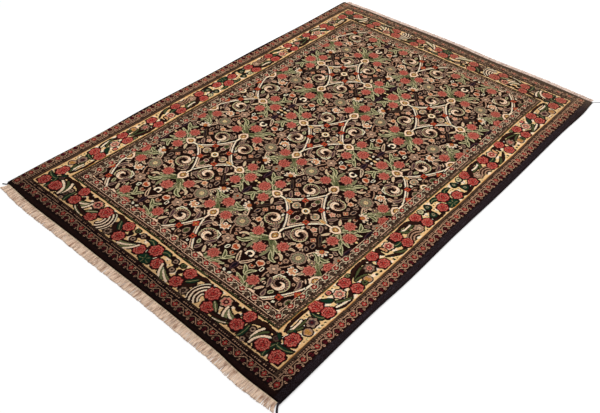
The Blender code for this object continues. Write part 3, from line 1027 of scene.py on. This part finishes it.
def draw_blades(chart, root, tips, bow, cores, half=3.4):
    """Curved blades that fan out of about one root, in two wools in turn with dark between them.
    Each one's middle is pushed aside by the bow, a share of its length."""
    for number, tip in enumerate(tips):
        way = np.subtract(tip, root)
        middle = np.add(root, 0.5 * way) + bow * np.array([way[1], -way[0]])
        chart.sweep(stem, root, tuple(middle), tip, half=half, wool=cores[number % len(cores)])


def ribs(right, up, rounds, wools=("ivory", "umber")):
    """Curved ribs one behind another: stripes of the distance from a centre, in a fan beside it."""
    r, a = np.hypot(right, up), np.degrees(np.arctan2(up, right))
    fan = (abs(a) < 58) & (r > rounds[0]) & (r < rounds[1])
    return [(fan, wools[1]), (fan & (np.cos(2 * np.pi * (r - rounds[1]) / 13) > 0.45), wools[0])]


def draw_border_middle(chart):
    """The middle of a side: three roses about a broad leaf, with dark leaves above them."""
    chart.put(fan, 0, 80, 36, size=1.1)
    chart.sweep(leaf, (22, 24), (36, 2), (60, 18), half=9.0, wool="fir", rib="leaf")
    draw_rose(chart, 48, 65, 0.98, 20)
    draw_rose(chart, 0, 30, 1.12)


# the long sides' border, s from the middle of the side and t outward from the inner edge
quarter.turned = True
quarter.start = (BANDS_ACROSS[3], 0.0)
put, sweep = quarter.put, quarter.sweep
draw_border_middle(quarter)
sweep(stem, (62, 82), (100, 96), (144, 78), half=2.2, wool="umber")
sweep(stem, (88, 30), (98, 44), (122, 24), half=1.6, wool="umber")
sweep(stem, (98, 40), (104, 44), (106, 50), half=1.6, wool="umber")
sweep(leaf, (66, 84), (88, 96), (112, 88), half=3.0, wool="umber")
put(bud, 88, 19, 20, turn=180, body="fir")
put(bud, 106, 62, 22, turn=150, size=1.15, body="fir")
put(bud, 127, 15, 18, size=0.95, body="moss", turn=200)
draw_rose(quarter, 167, 19, 1.04, 10)
draw_rose(quarter, 155, 68, 0.98, 50)
sweep(leaf, (174, 48), (212, -6), (274, 8), half=7.0, wool="umber")
sweep(leaf, (180, 62), (200, 40), (206, 12), half=6.0, wool="umber")
draw_blades(quarter, (266, 18), ((208, 36), (214, 26), (238, 50)), 0.16, cores=("olive", "ivory"))
put(peony, 204, 62, 26, body="stone", edge="tan", inside="blush")
put(ribs, 244, 96, 50, turn=-82, rounds=(14, 48), wools=("tan", "umber"))
draw_rose(quarter, 296, 22, 1.04, 30)
draw_rose(quarter, 292, 72, 0.98)
sweep(leaf, (304, 50), (326, 58), (344, 40), half=9.5, wool="fir", rib="leaf")
sweep(leaf, (312, 84), (352, 96), (398, 56), half=5.0, wool="umber")
sweep(leaf, (322, 92), (348, 84), (362, 66), half=4.5, wool="olive")
put(peony, 352, 30, 26, body="pink", edge="blush", inside="brick")
sweep(stem, (326, 8), (322, 26), (330, 40), half=2.4, wool="umber")
sweep(leaf, (378, 44), (372, 26), (384, 12), half=5.2, wool="peach", edge="umber", rib="umber")
sweep(leaf, (392, 8), (406, 22), (398, 44), half=5.5, wool="umber")
draw_rose(quarter, 430, 17, 1.0, 15)
draw_rose(quarter, 430, 70, 1.0, 60)
put(peony, 480, 46, 32, size=1.1, body="stone", edge="ash", inside="pink")
sweep(leaf, (452, 16), (500, -8), (562, 30), half=6.5, wool="umber")
draw_blades(quarter, (552, 46), ((500, 22), (498, 38), (510, 56)), -0.14, cores=("olive", "night"))
put(tulip, 520, 74, 24, turn=-80, body="honey", edge="tan")
put(knob, 540, 76, 14, wide=9.5, body="olive")
put(knob, 554, 10, 12, wide=7.0, body="leaf")
draw_rose(quarter, 584, 22, 1.0, 25)
draw_rose(quarter, 576, 72, 0.98)
put(peony, 633, 42, 26, body="pink", edge="blush", inside="stone")
sweep(leaf, (600, 60), (628, 104), (686, 78), half=6.0, wool="umber")
draw_blades(quarter, (620, 84), ((680, 72), (664, 58)), -0.1, cores=("ivory", "olive"))
sweep(leaf, (664, 44), (684, 34), (692, 10), half=8.0, wool="fir")
put(knob, 652, 10, 14, wide=8.0, body="pink", heart="ember")
draw_rose(quarter, 721, 19, 1.06, 15)
draw_rose(quarter, 714, 67, 1.02, 40)
sweep(leaf, (738, 74), (756, 60), (750, 26), half=8.5, wool="fir", rib="leaf")
put(wheel, 778, 56, 28, size=1.1, rim_wool="stone", inside="plum", middle="gold")
sweep(leaf, (744, 8), (790, -6), (852, 14), half=4.6, wool="umber")
draw_blades(quarter, (848, 24), ((786, 36), (794, 24), (812, 48)), 0.14, cores=("olive", "ivory"))
put(tulip, 812, 74, 24, turn=-100, body="honey", edge="tan")
sweep(leaf, (832, 40), (842, 36), (850, 52), half=4.5, wool="fir")

# the short ends' border, in the same way
quarter.turned = False
quarter.start = (0.0, BANDS_ALONG[3])
draw_border_middle(quarter)
sweep(leaf, (62, 46), (84, 78), (134, 78), half=6.0, wool="umber")
tips = ((136, 86), (130, 94), (112, 99), (94, 99))
draw_blades(quarter, (64, 54), tips, -0.12, cores=("leaf", "ivory"))
put(knob, 87, 17, 16, wide=9.0, body="stone")
put(knob, 120, 11, 16, wide=8.0, body="olive")
put(knob, 104, 48, 18, wide=9.0, body="stone")
put(comma, 70, 12, 24, turn=30, wide=11)
put(comma, 102, 28, 24, turn=200, wide=11)
put(comma, 130, 36, 24, turn=90, wide=11)
draw_rose(quarter, 164, 19, 0.98, 35)
draw_rose(quarter, 153, 73, 1.0)
sweep(leaf, (176, 52), (192, 40), (208, 10), half=8.5, wool="fir", rib="leaf")
sweep(leaf, (186, 20), (212, -4), (256, 8), half=6.0, wool="umber")
sweep(leaf, (180, 70), (196, 62), (210, 36), half=6.5, wool="umber")
put(peony, 200, 82, 24, size=0.8, body="stone", edge="ash", inside="gold")
put(ribs, 282, 62, 68, turn=180, rounds=(24, 66))
draw_rose(quarter, 281, 30, 1.16, 10)
draw_rose(quarter, 307, 78, 1.0, 45)
sweep(leaf, (306, 46), (324, 60), (344, 76), half=7.0, wool="olive", rib="moss")
put(peony, 337, 24, 26, body="pink", edge="tan", inside="wine")
tips = ((408, 54), (402, 64), (388, 74), (370, 74))
draw_blades(quarter, (356, 34), tips, -0.18, cores=("leaf", "ivory"))
sweep(leaf, (322, 88), (362, 88), (408, 60), half=4.6, wool="umber")
sweep(leaf, (344, 96), (376, 98), (404, 76), half=5.2, wool="olive", rib="ivory")
put(comma, 366, 10, 26, turn=20, wide=12)
put(comma, 386, 18, 26, turn=-30, wide=12)
put(comma, 404, 10, 26, turn=40, wide=11)
put(comma, 404, 40, 26, turn=110, wide=11)
draw_rose(quarter, 434, 15, 0.94, 20)
draw_rose(quarter, 424, 64, 1.0)
sweep(leaf, (452, 96), (464, 66), (454, 34), half=8.0, wool="fir", rib="leaf")
sweep(leaf, (452, 26), (476, -6), (540, 10), half=7.0, wool="umber")
put(knob, 474, 44, 16, wide=9.0, body="stone")
put(knob, 478, 66, 14, wide=9.0, body="ash")
put(knob, 474, 90, 14, wide=8.0, body="stone")
tips = ((500, 18), (518, 20), (534, 30))
draw_blades(quarter, (498, 84), tips, 0.32, half=3.6, cores=("ivory", "olive"))
for s in (488, 505, 522):
    put(comma, s, 92, 12, turn=90, wide=6)

# the corner, where the two runs meet in a dark bow between three roses
quarter.start = (0.0, 0.0)
sweep(leaf, (562, 962), (548, 930), (572, 890), half=10.0, wool="fir", rib="leaf")
sweep(leaf, (566, 902), (600, 912), (634, 890), half=10.0, wool="fir", rib="leaf")
put(knob, 552, 886, 18, wide=12.0, body="ash", heart="plum")
sweep(leaf, (542, 870), (556, 872), (564, 886), half=5.0, wool="fir")
draw_rose(quarter, 535, 929, 1.06)
draw_rose(quarter, 596, 862, 1.06, 20)
draw_rose(quarter, 602, 935, 1.14, 40)

BORDER_SPRIGS = (
    (sprig_leaf, "umber", "night"),
    (sprig_leaf, "night", "night"),
    (sprig_leaf, "olive", "night"),
    (sprig_curl, "night", "night"),
    (sprig_leaf, "fir", "night"),
    (sprig_flower, "umber", "night"),
)
# the border's runs: from where to where, along and then across
SIDE_RUN = (0, 866, 539, 634)
END_RUN = (866, 960, 0, 540)
CORNER = (866, 960, 539, 634)
for keep, outline in ((SIDE_RUN, 3.3), (END_RUN, 4.0), (CORNER, 3.6)):
    outline_motifs(quarter, "gold", keep, outline, ("night", "umber", "night"))
    fill_ground(quarter, "gold", (11, 9, 7.5), BORDER_SPRIGS, 3.4, 3, keep)
    part, x, y = quarter.window(keep[2], keep[3], keep[0], keep[1])
    # what is left of the gold ground pales in patches, where a product of sines is high
    pale = (part == WOOL_NUMBER["gold"]) & (np.sin(y / 9) * np.cos(x / 7 + y / 23) > 0.4)
    part[pale] = WOOL_NUMBER["ivory"]


def guard(run, out, wide, pitch, ground, scroll, flowers, line, outer_edge):
    """A narrow guard: a vine that waves along it as a cosine, with a curl on both sides of each
    bend, and in the bends by turns a round flower and a square one of four petals. A line closes
    its inner edge, and where outer_edge holds the outer one too."""
    middle = out - 0.5 * wide
    first = (run + 0.5 * pitch) % pitch - 0.5 * pitch
    second = run % pitch - 0.5 * pitch
    turn = 2 * np.pi * run / pitch
    steep = np.hypot(1, 0.27 * wide * 2 * np.pi / pitch * np.sin(turn))
    vine = abs(middle - 0.27 * wide * np.cos(turn)) / steep
    curl = np.hypot(abs(first) - 0.3 * pitch, middle - 0.27 * wide)
    other = np.hypot(abs(second) - 0.3 * pitch, middle + 0.27 * wide)
    below, above = middle + 0.1 * wide, middle - 0.1 * wide
    ring = np.hypot(first / 1.2, below)
    petals = 0.22 * wide * (1 + 0.16 * np.cos(6 * np.arctan2(below, first)))
    square = abs(second) + abs(above)
    return [
        (True, ground),
        (vine < 0.62 * line, scroll),
        (abs(curl - 2.9) < 0.52 * line, scroll),
        (abs(other - 2.9) < 0.52 * line, scroll),
        (ring < petals + 1.6, "night"),
        (ring < petals, flowers[0]),
        (ring < 0.08 * wide, scroll),
        (square < 0.34 * wide, "night"),
        (square < 0.28 * wide, flowers[1]),
        (((abs(second) < 0.8) | (abs(above) < 0.8)) & (square < 0.3 * wide), "night"),
        ((out < line) | ((out > wide - line) & outer_edge), scroll),
    ]


def stripe(run, out, wide, wools):
    """A dark stripe with three rows of small dots, a row in each of the wools. Where a sum of two
    slow sines is high, or in the middle row low, the dots are umber instead."""
    layers = [(True, "night")]
    choice = np.sin(run * 0.23) + np.sin(run * 0.083 + 2)
    for number, wool in enumerate(wools):
        row = abs(out - (0.24 + 0.26 * number) * wide) < 0.1 * wide
        dots = row & (np.cos(2 * np.pi * run / DOTS + 2.1 * number) > 0.1 * number)
        layers.append((dots, wool))
        layers.append((dots & (choice * (-1) ** number > 0.9), "umber"))
    return layers


# the guards' pitches put a flower in the middle of each corner
inner_pitch = np.where(on_side, 55.17, 55.78)
outer_pitch = np.where(on_side, 55.72, 55.79)
outer_line = np.where(on_side, 1.35, 1.0)  # mm, finer at the ends
fleck = np.cos(run * 1.35) * np.cos(out * 1.15)
for number, layers in (
    (1, guard(run, out, 30.5, inner_pitch, "umber", "blush", ("brick", "ash"), 1.2, True)),
    (2, stripe(run, out, 18.5, ("ash", "tan", "olive"))),
    (3, [((out < 1.4) & on_side, "honey")]),
    (5, [((out > 2.6) & on_side, "honey")]),
    (6, stripe(run, out, 20.0, ("ash", "umber", "tan"))),
    (7, guard(run, out, 25.0, outer_pitch, "night", "tan", ("brick", "wine"), outer_line, False)),
    (8, [(True, "night"), ((fleck > 0.3) & on_side, "smoke"), ((fleck > 0.2) & ~on_side, "umber")]),
):
    for where, wool in layers:
        quarter.wool[(band == number) & where] = WOOL_NUMBER[wool]
# along the sides, the ground between a stripe's dots is browner than at the ends
on_long = on_side & ((band == 2) | (band == 6)) & (np.cos(2 * np.pi * run / DOTS) < 0.3)
quarter.wool[on_long & (quarter.wool == WOOL_NUMBER["night"])] = WOOL_NUMBER["ash"]


def knots(across, along):
    """The wool at points of the pile: folded into the quarter, where each border stripe's place
    is read off between its marks on that side of the rug. Slow sines let the drawing drift."""
    drift_x = 1.5 * np.sin(along / 131 + 0.6) + 1.1 * np.sin(along / 57 + across / 310)
    drift_y = 1.7 * np.sin(across / 167 + 1.9) + 1.2 * np.sin(across / 61 + along / 270)
    x, y = across + drift_x - DESIGN_MIDDLE[0], along + drift_y - DESIGN_MIDDLE[1]
    drawn_x = (0, 487, 517, 535, 539, 634, 638, 657, 682, 705)
    left = np.interp(-x, (0, 484, 519, 543, 549, 627, 632, 658, 693, 720), drawn_x)
    right = np.interp(x, (0, 492, 521, 541, 545, 632, 637, 654, 689, 730), drawn_x)
    drawn_y = (0, 412, 812, 843, 862, 866, 960, 964, 990, 1016, 1045)
    near = np.interp(-y, (0, 404, 810, 842, 866, 872, 967, 972, 995, 1033, 1060), drawn_y)
    far = np.interp(y, (0, 416, 797, 828, 848, 853, 929, 934, 957, 981, 1005), drawn_y)
    return quarter.at(np.where(x < 0, left, right), np.where(y < 0, near, far))


dyed = np.array([linear(colour) for colour in WOOLS.values()])
NEAR_PAINTED_SHADE = 0.75  # painted shade: how much darker the first rows are, as a power of e
FAR_PAINTED_HAZE = 0.3  # painted haze: how far the last rows are pulled towards a warm brown
HAZE_BROWN = (0.25, 0.145, 0.08)  # linear light, the warm brown of the painted haze
FAR_PAINTED_SHEEN = (0.045, 0.034, 0.024)  # painted sheen: linear light added to the very last rows


def knotted_colours(a, b, finer):
    """The light that each cell's four knots give back, one to a corner, for the cell lines a and b.
    A knot is the mean of finer times finer points of the chart. The dye lot changes along the rug
    as a product of sines, and the near end is painted darker as shade; that falls off as a bell
    curve, and so do a painted haze, which pulls the pale wools towards brown, and a painted sheen
    added at the far end. Each corner is carried out from the middles of the knots beside it."""
    count = 2 * finer
    steps = (np.arange(count) + 0.5) / count
    fine_a = (a[:-1, None] + (a[1:] - a[:-1])[:, None] * steps).ravel()
    fine_b = (b[:-1, None] + (b[1:] - b[:-1])[:, None] * steps).ravel()
    across, along = plan(*np.meshgrid(fine_a, fine_b))
    light = dyed[knots(across, along)]
    rows, columns = 2 * (len(b) - 1), 2 * (len(a) - 1)
    light = light.reshape(rows, finer, columns, finer, 3).mean(axis=(1, 3))
    uneven = np.random.default_rng(11).normal(0, 0.055, (rows, columns, 1))
    from_near = (np.arange(rows) + 0.5) / rows * LONG
    dye_lots_and_painted_shade = 0.05 * np.sin(from_near / 55) * np.sin(0.4 + from_near / 190)
    # painted shade: the first rows are darkened, less and less as a bell curve from the near end
    dye_lots_and_painted_shade = dye_lots_and_painted_shade - NEAR_PAINTED_SHADE * np.exp(-((from_near / 150) ** 2))
    light = light * np.exp(uneven + dye_lots_and_painted_shade[:, None, None])
    # painted haze: the pale wools of the last rows are pulled towards a warm brown
    blend_with_painted_light = FAR_PAINTED_HAZE * np.exp(-(((LONG - from_near) / 280) ** 2))[:, None, None]
    blend_with_painted_light = blend_with_painted_light * np.clip(light.max(axis=2, keepdims=True) / 0.2, 0, 1)
    light = light + blend_with_painted_light * (np.array(HAZE_BROWN) - light)
    # painted sheen: light added to the very last rows
    far_sheen = np.exp(-(((LONG - from_near) / 70) ** 2))
    light = light + far_sheen[:, None, None] * np.array(FAR_PAINTED_SHEEN)
    knot = light.reshape(rows // 2, 2, columns // 2, 2, 3)
    middle = knot.mean(axis=3, keepdims=True)
    knot = middle + 2 * (knot - middle)
    middle = knot.mean(axis=1, keepdims=True)
    knot = middle + 2 * (knot - middle)
    knot = np.clip(knot, 0.002, 0.9)
    corners = [knot[:, 0, :, 0], knot[:, 0, :, 1], knot[:, 1, :, 1], knot[:, 1, :, 0]]
    return np.stack(corners, axis=2)


CELL = 3.1  # mm, a cell of the surface, which holds two knots each way, so a knot is 1.5 mm
# the pile's rounded edge: how far in each of its lines lies, and how high, in mm
SHOULDER = ((0.0, 3.6), (0.3, 6.5), (1.2, 9.2), (2.6, 10.6), (4.5, 11.0))
STRIPS = 6  # the pile is made in six lengthwise strips, each with the colours of its own knots


def cell_lines(length):
    """Shares of a length for the lines between cells, with the edges' shoulder lines added."""
    even = np.linspace(0, 1, round(length / CELL) + 1)
    insets = np.array(SHOULDER)[:, 0] / length
    spare = insets[-1] + 0.4 * CELL / length
    inside = even[(even > spare) & (even < 1 - spare)]
    return np.concatenate([insets, inside, 1 - insets[::-1]])


def pile_height(across, along, shares_a, shares_b):
    """The nap's height: the shoulder's near an edge, else full, with slow waves as sines."""
    inset, height = np.array(SHOULDER).T
    to_side = np.minimum(shares_a, 1 - shares_a) * WIDE
    to_end = np.minimum(shares_b, 1 - shares_b) * LONG
    to_edge = np.minimum(to_side, to_end)
    waves = 0.35 * np.sin(across / 83 + 1) * np.sin(along / 119)
    waves = waves + 0.25 * np.sin(across / 41 - along / 67)
    return np.interp(to_edge, inset, height) + waves * np.clip(to_edge / 40, 0, 1)


def sheet_faces(rows, columns):
    """The quads of a grid of points, numbered along each row, wound anticlockwise from above."""
    first = (np.arange(rows - 1)[:, None] * columns + np.arange(columns - 1)).ravel()
    return np.stack([first, first + 1, first + columns + 1, first + columns], axis=1)


def dye(piece, colours):
    """Stores the light of the knots at each face's corners."""
    wool = np.ones((len(piece.data.polygons), 4, 4))
    wool[..., :3] = colours.reshape(-1, 4, 3)
    light = piece.data.attributes.new("wool", "FLOAT_COLOR", "CORNER")
    light.data.foreach_set("color", wool.ravel())


def lay_out(piece, rows, columns, lengths, turned=False):
    """Lays a piece's cells out flat in its OFBake map: it is cut in so many equal lengths, side by
    side. Across goes the length's number plus the column's share, and up the row's share of it."""
    row, column = np.divmod(np.arange((rows - 1) * (columns - 1)), columns - 1)
    each = -(-(rows - 1) // lengths)
    corners = np.array([[0, 1, 1, 0], [0, 0, 1, 1]])
    if turned:
        corners = corners[:, ::-1]
    across = (column[:, None] + corners[0]) / (columns - 1)
    up = (row[:, None] % each + corners[1]) / each
    across = (row[:, None] // each + 0.01 + 0.98 * across) / lengths
    place = np.stack([across, 0.005 + 0.99 * up], axis=-1)
    piece.data.uv_layers.new(name="OFBake").data.foreach_set("uv", place.ravel())


# Shorn wool, its cut fibre ends upward. To the eye it is deep and nearly without gloss, and the
# ends of the single knots show as a fine nap, some brighter than others; at low angles the fibre
# tips catch a warm light. The nap is 1.9 mm, a knot of the real rug, in patches of 6 mm.
pile_wool = bpy.data.materials.new("shorn knotted wool pile")
pile_wool.use_nodes = True
tree = pile_wool.node_tree
wool = add(tree, "Attribute", {"attribute_name": "wool"}, {}).outputs["Color"]
place = add(tree, "TexCoord", {}, {}).outputs["Object"]
tufts = {"Vector": place, "Scale": 1000 / 1.9}
tufts = add(tree, "TexVoronoi", {"feature": "F1"}, tufts).outputs["Distance"]
nap = {"Vector": place, "Scale": 1000 / 6.2, "Detail": 4.0}
nap = add(tree, "TexNoise", {}, nap).outputs["Fac"]
both = add(tree, "Math", {"operation": "ADD"}, {0: tufts, 1: nap})
relief = {"Height": both.outputs["Value"], "Strength": 0.5, "Distance": 0.0012}
relief = add(tree, "Bump", {}, relief)
lit = {"Value": nap, "From Min": 0.3, "From Max": 0.7, "To Min": 0.86, "To Max": 1.14}
lit = add(tree, "MapRange", {}, lit)
shade = add(tree, "VectorMath", {"operation": "SCALE"}, {0: wool, "Scale": lit.outputs["Result"]})
rough = {"Value": nap, "From Min": 0.2, "From Max": 0.8, "To Min": 0.84, "To Max": 0.96}
rough = add(tree, "MapRange", {}, rough)
shader = tree.nodes["Principled BSDF"]
tree.links.new(shade.outputs["Vector"], shader.inputs["Base Color"])
tree.links.new(rough.outputs["Result"], shader.inputs["Roughness"])
tree.links.new(relief.outputs["Normal"], shader.inputs["Normal"])
shader.inputs["IOR"].default_value = 1.55
shader.inputs["Specular IOR Level"].default_value = 0.012
shader.inputs["Sheen Weight"].default_value = 0.015
shader.inputs["Sheen Roughness"].default_value = 0.45
shader.inputs["Sheen Tint"].default_value = (*linear("#f0c8a0"), 1.0)

a_lines = cell_lines(WIDE)
b_lines = cell_lines(LONG)
colours = knotted_colours(a_lines, b_lines, 1)
cuts = np.round(np.linspace(0, len(a_lines) - 1, STRIPS + 1)).astype(int)
for number, (first, last) in enumerate(zip(cuts, cuts[1:])):
    share_a, share_b = np.meshgrid(a_lines[first : last + 1], b_lines)
    across, along = plan(share_a, share_b)
    height = pile_height(across, along, share_a, share_b)
    rows, columns = height.shape
    points = np.stack([across, along, height], axis=-1)
    piece = new_piece(f"pile_{number + 1}", points, sheet_faces(rows, columns), pile_wool)
    dye(piece, colours[:, first:last])
    lay_out(piece, rows, columns, 3)
    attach(piece, "root")
    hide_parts("rug_body")

# ---------------------------------------------------------------------------------------------
# The woven back. Underneath, the rug shows the loops of the same knots between rows of cotton
# weft: the same design, ribbed and duller, lying on the floor. Its rim closes the cloth up to
# the pile.

BACK_CELL = 6.4
RIM_LEAN = 0.25  # mm, how far the rim leans outward
RIM_HIGH = 3.5
RIB = 6.4  # mm: the real rows, 1.6 mm apart, are too fine to show and are drawn 4 times as coarse


def back_lines(length):
    """Shares of a length for the back's cell lines, with one more outside them for the rim."""
    even = np.linspace(0, 1, round(length / BACK_CELL) + 1)
    return np.concatenate([[-RIM_LEAN / length], even, [1 + RIM_LEAN / length]])


# Wool loops and cotton weft, pressed flat on the loom and never shorn. To the eye it is a harder,
# paler and flatter cloth than the pile, ribbed across the rug, with the weft's grey between the
# rows of loops and soil in broad patches of 60 mm.
back_weave = bpy.data.materials.new("woven wool loops and cotton weft")
back_weave.use_nodes = True
tree = back_weave.node_tree
wool = add(tree, "Attribute", {"attribute_name": "wool"}, {}).outputs["Color"]
place = add(tree, "TexCoord", {}, {}).outputs["Object"]
parts = add(tree, "SeparateXYZ", {}, {"Vector": place})
turns = 2 * np.pi * 1000 / RIB
rows = add(tree, "Math", {"operation": "MULTIPLY"}, {0: parts.outputs["Y"], 1: turns})
rows = add(tree, "Math", {"operation": "SINE"}, {0: rows.outputs["Value"]}).outputs["Value"]
loops = add(tree, "Math", {"operation": "MULTIPLY"}, {0: parts.outputs["X"], 1: turns})
loops = add(tree, "Math", {"operation": "SINE"}, {0: loops.outputs["Value"]}).outputs["Value"]
height = add(tree, "Math", {"operation": "MULTIPLY_ADD"}, {0: loops, 1: 0.5, 2: rows})
relief = {"Height": height.outputs["Value"], "Strength": 0.6, "Distance": 0.0008}
relief = add(tree, "Bump", {}, relief)
weft = {"Value": rows, "From Min": -1.0, "From Max": -0.3, "To Min": 0.55, "To Max": 0.0}
weft = add(tree, "MapRange", {}, weft)
mixed = {0: weft.outputs["Result"], 6: wool, 7: (*linear("#8f7f6e"), 1.0)}
mixed = add(tree, "Mix", {"data_type": "RGBA"}, mixed)
soil = {"Vector": place, "Scale": 1000 / 60, "Detail": 5.0}
soil = add(tree, "TexNoise", {}, soil).outputs["Fac"]
lit = {"Value": soil, "From Min": 0.3, "From Max": 0.7, "To Min": 0.82, "To Max": 1.08}
lit = add(tree, "MapRange", {}, lit)
shade = {0: mixed.outputs[2], "Scale": lit.outputs["Result"]}
shade = add(tree, "VectorMath", {"operation": "SCALE"}, shade)
rough = {"Value": loops, "From Min": -1.0, "To Min": 0.94, "To Max": 0.84}
rough = add(tree, "MapRange", {}, rough)
shader = tree.nodes["Principled BSDF"]
tree.links.new(shade.outputs["Vector"], shader.inputs["Base Color"])
tree.links.new(rough.outputs["Result"], shader.inputs["Roughness"])
tree.links.new(relief.outputs["Normal"], shader.inputs["Normal"])
shader.inputs["IOR"].default_value = 1.55
shader.inputs["Specular IOR Level"].default_value = 0.08

a_lines = back_lines(WIDE)
b_lines = back_lines(LONG)
share_a, share_b = np.meshgrid(a_lines, b_lines)
across, along = plan(share_a, share_b)
height = 0.25 + 0.2 * np.sin(across / 37) * np.sin(along / 43)  # the cloth lies not quite flat
height[[0, -1], :] = RIM_HIGH
height[:, [0, -1]] = RIM_HIGH
points = np.stack([across, along, height], axis=-1)
rows, columns = height.shape
back = new_piece("woven_back", points, sheet_faces(rows, columns)[:, ::-1], back_weave)
# the loops show a little paler than their cut ends do
# the knots' colours also bring the near end's painted shade and the far end's painted haze and
# sheen onto the back
dye(back, knotted_colours(a_lines, b_lines, 3)[:, :, ::-1] * 0.8 + 0.035)
lay_out(back, rows, columns, 1, turned=True)
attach(back, "root")
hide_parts("rug_body")

# ---------------------------------------------------------------------------------------------
# The floor, the light and the camera. The rug lies on a plain white studio floor under wide,
# soft lamps, the largest overhead and the other beyond its far end.

floor_mesh = bpy.data.meshes.new("floor")
floor_mesh.from_pydata([(-9, -9, 0), (9, -9, 0), (9, 9, 0), (-9, 9, 0)], [], [(0, 1, 2, 3)])
floor = bpy.data.objects.new("floor", floor_mesh)
bpy.context.scene.collection.objects.link(floor)
# Matt white emulsion, rolled on: to the eye an even pale ground, with no gloss
floor_paint = bpy.data.materials.new("matt white floor paint")
floor_paint.use_nodes = True
shader = floor_paint.node_tree.nodes["Principled BSDF"]
shader.inputs["Base Color"].default_value = (*linear("#f6f6f6"), 1.0)
shader.inputs["Roughness"].default_value = 0.8
floor_mesh.materials.append(floor_paint)


def soft_box(name, place, aim, wide, long, watts):
    """A rectangular lamp at its place, turned so that it points at its aim."""
    light = bpy.data.lights.new(name, "AREA")
    light.shape = "RECTANGLE"
    light.size = wide
    light.size_y = long
    light.energy = watts
    lamp = bpy.data.objects.new(name, light)
    turn = (Vector(aim) - Vector(place)).to_track_quat("-Z", "Y").to_matrix().to_4x4()
    lamp.matrix_world = Matrix.Translation(place) @ turn
    bpy.context.scene.collection.objects.link(lamp)


soft_box("overhead soft box", (0.0, 0.2, 4.2), (0.0, 0.0, 0.0), 4.5, 4.5, 165)
soft_box("far soft box", (-0.9, 4.6, 2.6), (0.0, 0.6, 0.0), 4.0, 2.5, 100)
world = bpy.data.worlds.new("studio")
world.use_nodes = True
world.node_tree.nodes["Background"].inputs["Color"].default_value = (1.0, 1.0, 1.0, 1.0)
world.node_tree.nodes["Background"].inputs["Strength"].default_value = 0.45
bpy.context.scene.world = world
bpy.context.scene.view_settings.view_transform = "Standard"

# the photograph was taken from beyond the near right corner, at about 1.75 m, and a little tilted
camera = bpy.data.cameras.new("camera")
camera.lens = 42.17
camera.sensor_width = 36.0
looking = Vector((-0.48085, 0.55890, -0.67558)).normalized()
rightward = Vector((0.74736, 0.66419, 0.01753))
rightward = (rightward - looking * rightward.dot(looking)).normalized()
upward = rightward.cross(looking)
turned = Matrix((rightward, upward, -looking)).transposed().to_4x4()
place = Vector((2.1430 + NEAR_LEFT[0] / 1000, -0.7983 + NEAR_LEFT[1] / 1000, 1.7552))
seen_from = bpy.data.objects.new("camera", camera)
seen_from.matrix_world = Matrix.Translation(place) @ turned
bpy.context.scene.collection.objects.link(seen_from)
bpy.context.scene.camera = seen_from
